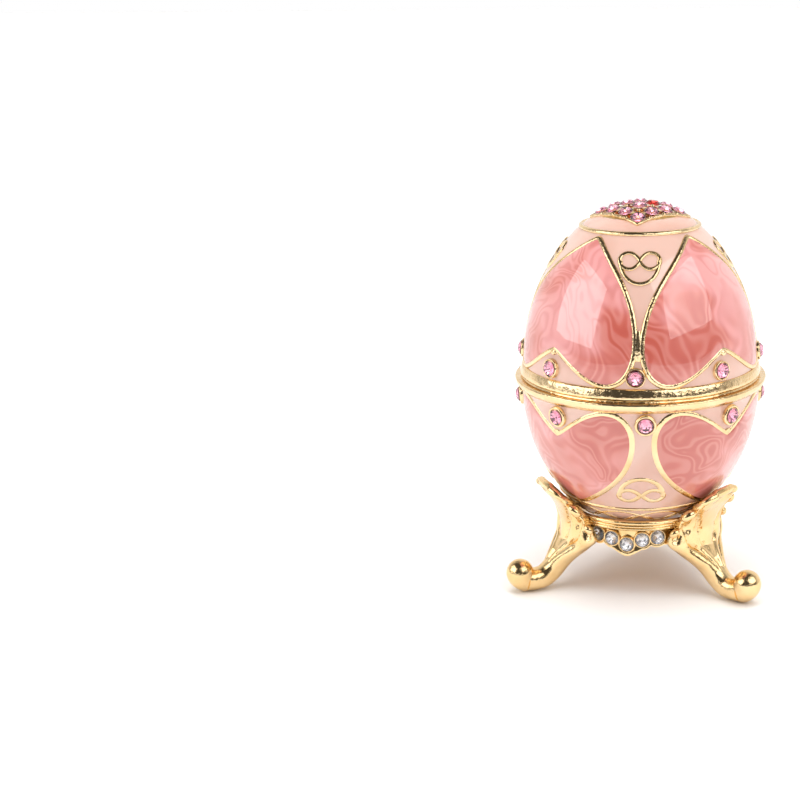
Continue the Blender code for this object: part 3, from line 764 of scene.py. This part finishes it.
def makeLeaves():
    # leaves tip to tip round the foot of the egg, with the tops of a second row between them
    wide = 360 / leaves["count"]
    upper, lower, under = [], [], []
    for share in sharesOf(leaves["steps"]):
        bow = sin(pi * share)
        angle = leaves["turn"] + wide * share
        upper.append((angle, between(leaves["tip"], leaves["top"], bow)))
        lower.append((angle, between(leaves["tip"], leaves["low"], bow ** 0.8)))
        under.append((angle + wide / 2, between(leaves["underLow"], leaves["underTop"], bow ** 0.7)))
    leaf = [
        wireOnEgg("leafWire", baseHalf, line, leaves["wire"], leaves["flat"], False)
        for line in (upper, lower, under[2:-2])
    ]
    return turnedCopies(leaf, leaves["count"])


# rise, wire and flatness of the lines round the egg
lines = {"crown": (24.30, 0.42, 0.90), "bottom": (19.5, 0.36, 0.6)}


def makeLine(half, name, steps=180):
    rise, wire, flat = lines[name]
    return wireOnEgg(f"{name}Line", half, [(360 * step / steps, rise) for step in range(steps)], wire, flat)


lidGoldwork = joinUp(
    "lidGoldwork",
    makeHeartWires(lidHalf, lidHearts) + makeKnots(lidHalf, lidKnot) + makeWedges()
    + makeClefts(lidHalf, lidHearts) + [makeLine(lidHalf, "crown")],
)
baseGoldwork = joinUp(
    "baseGoldwork",
    makeHeartWires(baseHalf, baseHearts) + makeKnots(baseHalf, baseKnot) + makeLeaves()
    + makeClefts(baseHalf, baseHearts) + [makeLine(baseHalf, "bottom")],
)
for goldwork in (lidGoldwork, baseGoldwork):
    finishGold(goldwork, wireGold, 60)
print("gold wires laid:", len(lidGoldwork.data.polygons) + len(baseGoldwork.data.polygons), "faces")


# shares of a stone's radius
stoneCut = {
    "sides": 16, "table": 0.56, "kite": 0.80, "crown": 0.38, "kiteHeight": 0.20, "girdle": 0.05,
    "point": 0.10,
}


def cutStone(name, radius, depth, front, back):
    # table, kites, girdle and a point, from rings of points in one tight skin
    half = stoneCut["sides"] // 2
    step = tau / stoneCut["sides"]
    rings = (
        (half, stoneCut["table"], stoneCut["crown"], 0.0),
        (half, stoneCut["kite"], stoneCut["kiteHeight"], step),
        (stoneCut["sides"], 1.0, stoneCut["girdle"] / 2, 0.0),
        (stoneCut["sides"], 1.0, -stoneCut["girdle"] / 2, 0.0),
        (half, stoneCut["point"], -depth, step / 2),
    )
    stone = startPiece(name, addCircle, vertices=half, radius=rings[0][1] * radius * mm)
    placeVertices(stone, lambda spot: spot + Vector((0, 0, rings[0][2] * radius * mm)))
    bpy.ops.object.mode_set(mode="EDIT")
    for count, reach, height, turn in rings[1:]:
        place = (0, 0, height * radius * mm)
        addCircle(vertices=count, radius=reach * radius * mm, location=place, rotation=(0, 0, turn))
    bpy.ops.mesh.select_all(action="SELECT")
    bpy.ops.mesh.convex_hull()
    bpy.ops.mesh.dissolve_limited(angle_limit=radians(1.0))
    closeMesh()
    dress(stone, front, back)
    for face in stone.data.polygons:
        face.use_smooth = False
        face.material_index = 1 if face.normal.z < -0.2 else 0
    return stone


# a collet's rings: out from the stone in mm, further out in shares of the wall, and below the lip
colletRings = (
    (-0.03, 0.0, 0.55), (0.0, 0.0, 0.12), (0.06, 0.0, 0.02),
    (0.0, 0.5, 0.0), (0.0, 0.85, 0.05), (0.0, 1.0, 0.2),
)


def makeCollet(name, inner, collet):
    # a cup with a rounded lip: a disc drawn up and out in rings
    wall = collet["wall"]
    rings = [(out + wall * share, collet["lip"] - below) for out, share, below in colletRings]
    rings.append((wall + collet["flare"], collet["root"]))
    reach = inner * 0.35
    height = collet["floor"]
    cup = startPiece(name, addCircle, vertices=40, radius=reach * mm, fill_type="NGON")
    placeVertices(cup, lambda spot: spot + Vector((0, 0, collet["floor"] * mm)))
    openMesh()
    for out, nextHeight in rings:
        lift = (0, 0, (nextHeight - height) * mm)
        bpy.ops.mesh.extrude_edges_move(TRANSFORM_OT_translate={"value": lift})
        grow = (inner + out) / reach
        bpy.ops.transform.resize(value=(grow, grow, 1), center_override=(0, 0, 0))
        reach = inner + out
        height = nextHeight
    bpy.ops.mesh.edge_face_add()
    closeMesh()
    return cup


# The stones at the front sit a little off their even places, by the slips in degrees.
eggStones = {"rise": 3.7, "radius": 1.22, "depth": 0.55, "girdleOut": 0.70, "play": 0.08, "count": 8}
lidCollet = {
    "floor": -0.10, "wall": 0.26, "lip": 0.60, "flare": 0.12, "root": -1.0,
    "slips": {0: 0.9, 1: -0.8, 7: 1.2},
}
baseCollet = {
    "floor": -0.10, "wall": 0.40, "lip": 0.56, "flare": 0.05, "root": -1.0,
    "slips": {1: -0.7, 7: 0.9},
}
roseStone = cutStone("roseStone", eggStones["radius"], eggStones["depth"], roseGlass, roseFoil)


def setEggStones(half, collet):
    model = makeCollet("collet", eggStones["radius"] + eggStones["play"], collet)
    cups = []
    for index in range(eggStones["count"]):
        angle = 360 * index / eggStones["count"] + collet["slips"].get(index, 0.0)
        cups.append(copyOf(model, "collet", eggFrame(half, angle, eggStones["rise"], 0.0)))
        seat = eggFrame(half, angle, eggStones["rise"], eggStones["girdleOut"])
        setStone(roseStone, half["name"], index + 1, seat, 0.7 * index)
    putAway(model)
    finishGold(joinUp(f"{half['name']}Collets", cups), wireGold, 50)


setEggStones(lidHalf, lidCollet)
setEggStones(baseHalf, baseCollet)
print("egg stones set")


crown = {
    "row": 4, "pitch": 2.85, "radius": 1.20, "depth": 0.40, "girdleOut": 0.46, "ruby": 7,
    "half": 5.50, "plateOut": 0.05, "root": -0.6, "wire": 0.30, "wireOut": 0.10,
    "bead": 0.36, "beadOut": 0.42, "edgeBeadOut": 0.27, "edgePull": 0.96,
}


def crownSpot(column, row):
    # places in the square, whose corners point front, right, back and left
    middle = (crown["row"] - 1) / 2
    along = crown["pitch"] * (row - middle)
    across = crown["pitch"] * (column - middle)
    return (across - along) / sqrt(2), (across + along) / sqrt(2)


def makeCrownPlate():
    plate = startPiece("crownPlate", addGrid, x_subdivisions=28, y_subdivisions=28, size=crown["half"] * 2)
    plate.rotation_euler = (0, 0, pi / 4)
    settlePlace(plate)
    placeVertices(plate, lambda spot: onCrown(spot.x, spot.y, crown["plateOut"]))
    applyModifier(plate, "SOLIDIFY", thickness=(crown["plateOut"] - crown["root"]) * mm, offset=-1)
    weld(plate, 0.0005)
    return plate


def makeCrownBorder():
    corners = [(0, -1), (1, 0), (0, 1), (-1, 0)]
    places = []
    for index, corner in enumerate(corners):
        ahead = corners[(index + 1) % 4]
        for step in range(24):
            share = step / 24
            x, y = (between(*ends, share) * crown["half"] * sqrt(2) for ends in zip(corner, ahead))
            places.append(onCrown(x, y, crown["wireOut"]))
    return layWire("crownBorder", places, crown["wire"])


def makeCrownBeads():
    model = startPiece(
        "crownBead", bpy.ops.mesh.primitive_ico_sphere_add, subdivisions=2, radius=crown["bead"] * mm
    )
    beads = []
    count = crown["row"]
    for row in range(count + 1):
        for column in range(count + 1):
            if row in (0, count) and column in (0, count):
                continue
            edge = row in (0, count) or column in (0, count)
            x, y = crownSpot(column - 0.5, row - 0.5)
            pull = crown["edgePull"] if edge else 1.0
            out = crown["edgeBeadOut"] if edge else crown["beadOut"]
            beads.append(copyOf(model, "crownBead", Matrix.Translation(onCrown(x * pull, y * pull, out))))
    putAway(model)
    return beads


crownGold = joinUp("crownGold", [makeCrownPlate(), makeCrownBorder()] + makeCrownBeads())
finishGold(crownGold, wireGold, 45)

crownStone = cutStone("crownStone", crown["radius"], crown["depth"], roseGlass, roseFoil)
for row in range(crown["row"]):
    for column in range(crown["row"]):
        number = row * crown["row"] + column + 1
        x, y = crownSpot(column, row)
        normal = (onCrown(x, y, 2) - onCrown(x, y, 0)).normalized()
        seat = standOn(onCrown(x, y, crown["girdleOut"]), normal)
        stone = setStone(crownStone, "crown", number, seat, 0.9 * number)
        if number == crown["ruby"]:
            dress(stone, rubyGlass, roseFoil)
print("crown set with", crown["row"] ** 2, "stones")


stand = {
    "ringReach": 12.0, "ringDepth": 22.653, "legs": 3, "ball": 2.75, "ballReach": 21.3, "footFlat": 0.25,
    "apronReach": 11.9, "apronWall": 0.85, "apronDepth": 3.6, "apronTurn": -3.7, "setback": 0.35,
    "stones": 5, "stonePitch": 12.1, "stoneRadius": 1.12, "stoneDepth": 0.42, "stoneOut": 0.10,
    "stoneDepths": (2.2, 2.55, 3.4, 2.55, 2.2), "bandBack": 0.42,
    "margin": 0.6, "tip": 0.3, "tipSlope": 0.65, "tipRound": 0.5,
}
# the ring's side, out from its reach and up from its depth: top, three rolls with their radii, under side
ringSide = {
    "top": ((-0.70, 0.20), (-0.45, 0.60), (-0.10, 0.76)),
    "rolls": ((0.28, 0.38, 0.38), (0.46, -0.12, 0.22), (0.42, -0.55, 0.24)),
    "under": ((0.2, -0.95), (-0.3, -1.0), (-0.7, -0.5)),
}


def makeRing():
    # a bead and two thin rolls below it, with a groove between each
    side = list(ringSide["top"])
    for middle, height, radius in ringSide["rolls"]:
        for share in sharesOf(6):
            turn = pi / 2 - pi * share
            side.append((middle + radius * cos(turn), height + radius * sin(turn)))
    side += ringSide["under"]
    outline = [(stand["ringReach"] + out, high - stand["ringDepth"]) for out, high in side]
    return turnShape("standRing", outline, 160)


def apronStones():
    # angle from the apron's middle and depth below the ring
    middle = (stand["stones"] - 1) / 2
    depths = enumerate(stand["stoneDepths"])
    return [(stand["stonePitch"] * (index - middle), below) for index, below in depths]


def apronLow(angle):
    # depth of the lower edge below the ring
    depth = stand["apronDepth"]
    scallop = stand["stoneRadius"] + stand["margin"]
    for station, below in apronStones():
        along = abs(radians(angle - station)) * stand["apronReach"]
        if along < scallop:
            depth = max(depth, below + sqrt(scallop ** 2 - along ** 2))
    tip = apronStones()[stand["stones"] // 2][1] + scallop + stand["tip"]
    slide = radians(angle) * stand["apronReach"] * stand["tipSlope"]
    return max(depth, tip - hypot(slide, stand["tipRound"]) + stand["tipRound"])


def makeApron():
    # a flat strip bent round into a band, with its lower edge drawn down
    apron = startPiece("standApron", addGrid, x_subdivisions=360, y_subdivisions=14, size=1.0)

    def bend(spot):
        angle = 360 * (spot.x + 0.5)
        fromMiddle = (angle - stand["apronTurn"] + 60) % 120 - 60
        share = 0.5 - spot.y
        depth = between(stand["setback"], apronLow(fromMiddle), share)
        # the band steps back behind the stones and comes forward again in a lip along its lower edge
        back = stand["bandBack"] * sin(pi * min(1.0, share * 1.12)) ** 0.5
        return roundStand(angle, stand["apronReach"] - back, -stand["ringDepth"] - depth)

    placeVertices(apron, bend)
    weld(apron, 0.005)
    applyModifier(apron, "SOLIDIFY", thickness=stand["apronWall"] * mm, offset=-1)
    edges = {"limit_method": "ANGLE", "angle_limit": radians(60)}
    applyModifier(apron, "BEVEL", width=0.16 * mm, segments=3, **edges)
    weld(apron, 0.001)
    return apron


def smoothBetween(stations, position):
    # a smooth curve through the stations, which lie at the whole numbers
    last = len(stations) - 1
    index = max(0, min(last - 1, int(position)))
    share = position - index
    ends = [stations[max(0, min(last, index + step))] for step in (-1, 0, 1, 2)]
    values = []
    for a, b, c, d in zip(*ends):
        square = 2 * a - 5 * b + 4 * c - d
        cube = 3 * b - a - 3 * c + d
        values.append((2 * b + (c - a) * share + square * share ** 2 + cube * share ** 3) / 2)
    return values


# Up a leg: shares of the way from the waist out and down to the ball, half depth and half width; the waist
# and the palmette's middle line as reach and height from the ring; petals as heights at both ends and arch;
# knobs as place across, share and size; dimples as place, share, width, height and depth.
leg = {
    "shank": (
        (0.916, 1.056, 2.00, 2.05), (0.723, 1.085, 1.85, 1.90), (0.518, 1.042, 1.80, 1.85),
        (0.337, 0.873, 1.75, 1.95), (0.205, 0.648, 1.60, 2.75), (0.096, 0.423, 1.30, 4.25),
        (0.012, 0.211, 1.05, 5.90),
    ),
    "waist": ((1.0, -3.35), (0.9, -1.35)), "fan": ((2.37, 0.65), (1.67, 2.35), (1.63, 3.95), (1.73, 5.65)),
    "fanAngle": 33.0, "rootHalf": 0.95, "tipHalf": 0.75, "curl": 0.55, "curlMiddle": 0.35, "swell": 0.24,
    "creases": (0.24, 0.58), "creaseOut": (0.30, 0.24), "creasePull": (1.5, 0.8), "creaseEnd": 0.45,
    "creaseDepth": 0.30, "creaseWide": 0.020,
    "middlePetal": (2.05, 2.05, 3.6), "secondPetal": (2.35, 0.15, 1.45), "outerPetal": (-1.15, -2.75, 1.05),
    "archFull": 3.2, "lip": 0.70, "lipShare": 0.965, "lipWide": 0.93, "lipSteps": 28,
    "knobs": ((0.69, 0.97, 1.30, 0.80, 0.85), (0.90, 0.96, 0.90, 0.62, 0.70)),
    "dimples": (
        (0.60, 0.56, 0.12, 0.26, 0.65), (0.84, 0.42, 0.085, 0.32, 0.55), (0.11, 0.87, 0.10, 0.07, 0.40),
    ),
    "around": 208, "shankRows": 30, "fanRows": 46,
}


def creaseMarks(share):
    # the creases spread up the fan, and run together down the shank, where share is below nothing
    marks = []
    for mark, out, pull in zip(leg["creases"], leg["creaseOut"], leg["creasePull"]):
        marks.append(mark + out * share if share >= 0 else mark * max(0.0, 1 + pull * share))
    return marks


def petalTop(across):
    place = abs(across)
    first, second = creaseMarks(1.0)
    if place <= first:
        inner, _, arch = leg["middlePetal"]
        full = leg["archFull"]
        return inner + arch * max(0.0, 1 - (place / first) ** full) ** (1 / full)
    inner, outer, arch = leg["secondPetal"] if place <= second else leg["outerPetal"]
    start, end = (first, second) if place <= second else (second, 1.0)
    share = (place - start) / (end - start)
    return between(inner, outer, share) + arch * sqrt(max(0.0, 1 - (2 * share - 1) ** 2))


def legSpine():
    # reach, depth, half depth and half width from the ball up, and the number of the waist
    depth = stand["ringDepth"]
    footDepth = egg["axis"].z + stand["footFlat"] - stand["ball"]
    fan = [(stand["ringReach"] + beyond, depth - above) for beyond, above in leg["waist"]]
    fan += [(reachAt(baseHalf, depth - above) + clear, depth - above) for clear, above in leg["fan"]]
    spine = []
    for out, down, deep, wide in leg["shank"]:
        reach = between(fan[0][0], stand["ballReach"], out)
        spine.append((reach, between(fan[0][1], footDepth, down), deep, wide))
    for index, (reach, down) in enumerate(fan):
        deep = between(leg["rootHalf"], leg["tipHalf"], index / (len(fan) - 1))
        spine.append((reach, down, deep, radians(leg["fanAngle"]) * reach))
    return spine, len(leg["shank"])


def findPosition(spine, low, depth):
    high = len(spine) - 1.0
    for _ in range(40):
        middle = (low + high) / 2
        if smoothBetween(spine, middle)[1] > depth:
            low = middle
        else:
            high = middle
    return low


def hump(value, middle, wide):
    return exp(-((value - middle) / wide) ** 2)


def creaseAt(across, share):
    return sum(hump(abs(across), mark, leg["creaseWide"]) for mark in creaseMarks(share))


def petalMiddle(across, share):
    # how far a place is from its own petal's middle, from 0 to 1 at the creases
    first, second = creaseMarks(share)
    marks = (-1.0, -second, -first, first, second, 1.0)
    for start, end in zip(marks, marks[1:]):
        if across <= end and end > start:
            return min(1.0, abs(2 * (across - start) / (end - start) - 1))
    return 1.0


def dimplesAt(across, share):
    depth = 0.0
    for middle, height, wide, tall, deep in leg["dimples"]:
        away = ((abs(across) - middle) / wide) ** 2 + ((share - height) / tall) ** 2
        depth += deep * exp(-away ** 2)
    return depth


spine, waist = legSpine()


def onLeg(across, bulge, share):
    # share runs from the ball at -1 over the waist at 0 to the petals' tips at 1; bulge is 1 outside
    position = waist * (1 + share)
    if share > 0:
        top = findPosition(spine, waist, stand["ringDepth"] - petalTop(across))
        position = between(waist, top, share)
    reach, depth, deep, wide = smoothBetween(spine, position)
    ahead = smoothBetween(spine, min(len(spine) - 1, position + 0.05))
    behind = smoothBetween(spine, max(0.0, position - 0.05))
    along = Vector((ahead[0] - behind[0], behind[1] - ahead[1])).normalized()
    out = deep * bulge * sqrt(max(0.0, 1 - max(0.0, share) ** 9))
    if bulge > 0:
        fade = min(1.0, max(0.0, 1 + share - leg["creaseEnd"]) / (1 - leg["creaseEnd"])) ** 0.6
        fade *= 1 - max(0.0, share) ** 4
        out += leg["swell"] * fade * (1 - petalMiddle(across, share) ** 2) * bulge
        out -= leg["creaseDepth"] * fade * creaseAt(across, share) * bulge
        if share > 0:
            out -= dimplesAt(across, share) * bulge
    curl = leg["curl"] * (1.0 if abs(across) > leg["creases"][0] else leg["curlMiddle"])
    out += curl * max(0.0, share) ** 3
    return roundStand(degrees(wide * across / reach), reach + along.y * out, -depth - along.x * out)


def makeLegBody():
    # a flat grid rolled up into the leg, round from side to side and up from the ball
    rows = leg["shankRows"] + leg["fanRows"]
    body = startPiece("legBody", addGrid, x_subdivisions=leg["around"], y_subdivisions=rows, size=1.0)
    shankShare = leg["shankRows"] / rows

    def form(spot):
        turn = tau * (spot.x + 0.5)
        run = spot.y + 0.5
        share = run / shankShare - 1 if run <= shankShare else 1 - ((1 - run) / (1 - shankShare)) ** 1.6
        power = 1 / (1 + (1 + min(0.0, share)) ** 1.5)
        across = -copysign(abs(cos(turn)) ** power, cos(turn))
        bulge = copysign(abs(sin(turn)) ** power, sin(turn))
        return onLeg(across, bulge, share)

    placeVertices(body, form)
    weld(body, 0.004)
    openMesh()
    bpy.ops.mesh.fill_holes(sides=0)
    closeMesh()
    return body


def makePetalLip():
    # a roll of gold along the top of the middle petal
    end = creaseMarks(1.0)[0] * leg["lipWide"]
    places = []
    swell = []
    for share in sharesOf(leg["lipSteps"]):
        side = 2 * share - 1
        places.append(onLeg(end * side, 0.35, leg["lipShare"]))
        swell.append(0.15 + 0.85 * sqrt(max(0.0, 1 - side ** 6)))
    return layWire("petalLip", places, leg["lip"], False, swell)


def makePetalKnobs():
    # a bead on the tip of each side petal
    model = startPiece("petalKnob", addBall, segments=28, ring_count=16, radius=mm)
    knobs = []
    for side in (-1, 1):
        for middle, share, wide, tall, deep in leg["knobs"]:
            place = onLeg(side * middle, 0.9, share)
            across = (onLeg(side * middle + 0.02, 0.9, share) - place).normalized()
            outward = across.cross(onLeg(side * middle, 0.9, share + 0.03) - place).normalized()
            seat = Matrix((across, outward.cross(across), outward)).transposed().to_4x4()
            shape = Matrix.Diagonal((wide, tall, deep, 1))
            knobs.append(copyOf(model, "petalKnob", Matrix.Translation(place) @ seat @ shape))
    putAway(model)
    return knobs


foot = {"reach": 21.55, "height": 3.35, "radius": 2.28, "curl": 0.95}


def makeBall(name):
    # a ball whose lower side runs down and in, to the curl of the foot that it stands on
    centre = roundStand(0, foot["reach"], foot["height"] - egg["axis"].z)
    ball = startPiece(name, addBall, segments=64, ring_count=40, radius=foot["radius"] * mm, location=centre)
    settlePlace(ball)

    def draw(spot):
        below = (centre.z - spot.z) / (foot["radius"] * mm)
        if below <= 0:
            return spot
        return Vector((spot.x, spot.y + foot["curl"] * below ** 2 * mm, (1 - below) * foot["height"] * mm))

    placeVertices(ball, draw)
    return ball


standParts = [makeRing(), makeApron()]
legModel = joinUp("standLeg", [makeLegBody(), makePetalLip()] + makePetalKnobs())
ballModel = makeBall("standBall")
for index in range(stand["legs"]):
    place = aboutAxis(120 * index + 60)
    standParts += [copyOf(legModel, "standLeg", place), copyOf(ballModel, "standBall", place)]
putAway(legModel, ballModel)
print("legs formed")

apronCollet = {"floor": -0.5, "wall": 0.24, "lip": 0.16, "flare": 0.02, "root": -0.8}
apronSetting = makeCollet("apronCollet", stand["stoneRadius"] + 0.03, apronCollet)
clearStone = cutStone("clearStone", stand["stoneRadius"], stand["stoneDepth"], clearGlass, silverFoil)
lift = Matrix.Translation((0, 0, stand["stoneOut"] * mm))
number = 0
for apron in range(stand["legs"]):
    for station, below in apronStones():
        number += 1
        angle = 120 * apron + stand["apronTurn"] + station
        place = roundStand(angle, stand["apronReach"], -stand["ringDepth"] - below)
        seat = standOn(place, roundStand(angle, 1, 0) - roundStand(angle, 0, 0))
        standParts.append(copyOf(apronSetting, "apronCollet", seat))
        setStone(clearStone, "apron", number, seat @ lift, 0.8 * number, "clear_crystal")
putAway(apronSetting, roseStone, crownStone, clearStone)

standGold = joinUp("standGold", standParts)
finishGold(standGold, castGold, 50, "stand")
print("stand joined:", len(standGold.data.polygons), "faces")


studio = {
    "floorSize": 6.0, "paper": ((0.94, 0.935, 0.93), (0.95, 0.945, 0.94), (0.965, 0.96, 0.955)),
    "white": 1.0, "air": (1.0, 0.96, 0.92), "front": 0.08, "back": 1.0, "lean": (0.0, 1.0, -0.6),
    "turnDark": (-0.35, 0.40), "skyWide": 55.0, "sky": 2.6,
}


def makeFloor():
    floor = startPiece("paleFloor", addGrid, x_subdivisions=8, y_subdivisions=8, size=studio["floorSize"])
    shade, middle, light = studio["paper"]
    material, tree, shader = startMaterial("palePaper", middle, Roughness=0.9)
    colours = ramp(tree, objectPattern(tree, 60, 2), [(0.3, shade), (0.7, light)])
    link(tree, shader, {"Base Color": colours})
    dress(floor, material)


def makeWorld():
    world = bpy.data.worlds.new("studioAir")
    bpy.context.scene.world = world
    world.use_nodes = True
    tree = world.node_tree
    tree.nodes.clear()
    # the room is dark round and above the viewer and white behind the object
    place = addNode(tree, "TexCoord").outputs["Generated"]
    away = addNode(tree, "VectorMath", {0: place}, operation="DOT_PRODUCT", in1=studio["lean"])
    depth = spread(tree, away.outputs["Value"], studio["front"], studio["back"], *studio["turnDark"])
    lit = addNode(tree, "Background", {"Strength": depth}, Color=(*studio["air"], 1))
    white = addNode(tree, "Background", Color=(1, 1, 1, 1), Strength=studio["white"])
    seen = addNode(tree, "LightPath").outputs["Is Camera Ray"]
    links = {"Fac": seen, 1: lit.outputs["Background"], 2: white.outputs["Background"]}
    mix = addNode(tree, "MixShader", links)
    addNode(tree, "OutputWorld", {"Surface": mix.outputs["Shader"]})


# azimuth round from the front, height above the floor in degrees, distance, width, height and power
softBoxes = {
    "left": (-62.0, 27.0, 0.42, 0.36, 0.29, 0.78),
    "right": (60.0, 36.0, 0.42, 0.42, 0.32, 0.88),
}


def hang(name, data, place):
    thing = bpy.data.objects.new(name, data)
    bpy.context.collection.objects.link(thing)
    thing.location = place
    return thing


def hangLight(name, kind, place, **settings):
    light = bpy.data.lights.new(name, kind)
    setAll(light, **settings)
    return hang(name, light, place)


def makeLights():
    aim = Vector((0, 0, 0.034))
    for name, (azimuth, lift, away, wide, tall, power) in softBoxes.items():
        turn = radians(azimuth)
        rise = radians(lift)
        way = Vector((sin(turn) * cos(rise), -cos(turn) * cos(rise), sin(rise)))
        box = hangLight(f"{name}Box", "AREA", aim + way * away, size=wide, size_y=tall, energy=power)
        box.data.shape = "RECTANGLE"
        box.rotation_euler = (-way).to_track_quat("-Z", "Y").to_euler()
        box.visible_camera = False
    wide = radians(studio["skyWide"])
    ceiling = hangLight("ceiling", "SUN", (0, 0, 0.6), angle=wide, energy=studio["sky"])
    ceiling.visible_glossy = False  # it lights, but the gold shows only the boxes and the room


# The object stands right of the middle of the picture, partly by shift and partly by aim.
view = {
    "azimuth": 6.7, "distance": 255.75, "above": 66.2, "aside": 2.86,
    "lens": {"lens": 72.05, "sensor_width": 36, "shift_x": -0.2, "shift_y": -0.0369, "clip_start": 0.01},
    "far": 20,
}


def makeCamera():
    data = bpy.data.cameras.new("viewCamera")
    setAll(data, clip_end=view["far"], **view["lens"])
    turn = radians(view["azimuth"])
    away = Vector((sin(turn), -cos(turn), 0)) * view["distance"]
    camera = hang("viewCamera", data, (egg["axis"] + away + Vector((0, 0, view["above"]))) * mm)
    aim = (egg["axis"] * mm - camera.location).to_track_quat("-Z", "Y").to_matrix()
    camera.rotation_euler = (aim @ Matrix.Rotation(radians(view["aside"]), 3, "Y")).to_euler()
    bpy.context.scene.camera = camera


makeFloor()
makeWorld()
makeLights()
makeCamera()
bpy.context.scene.view_settings.view_transform = "Standard"
print("studio lit")
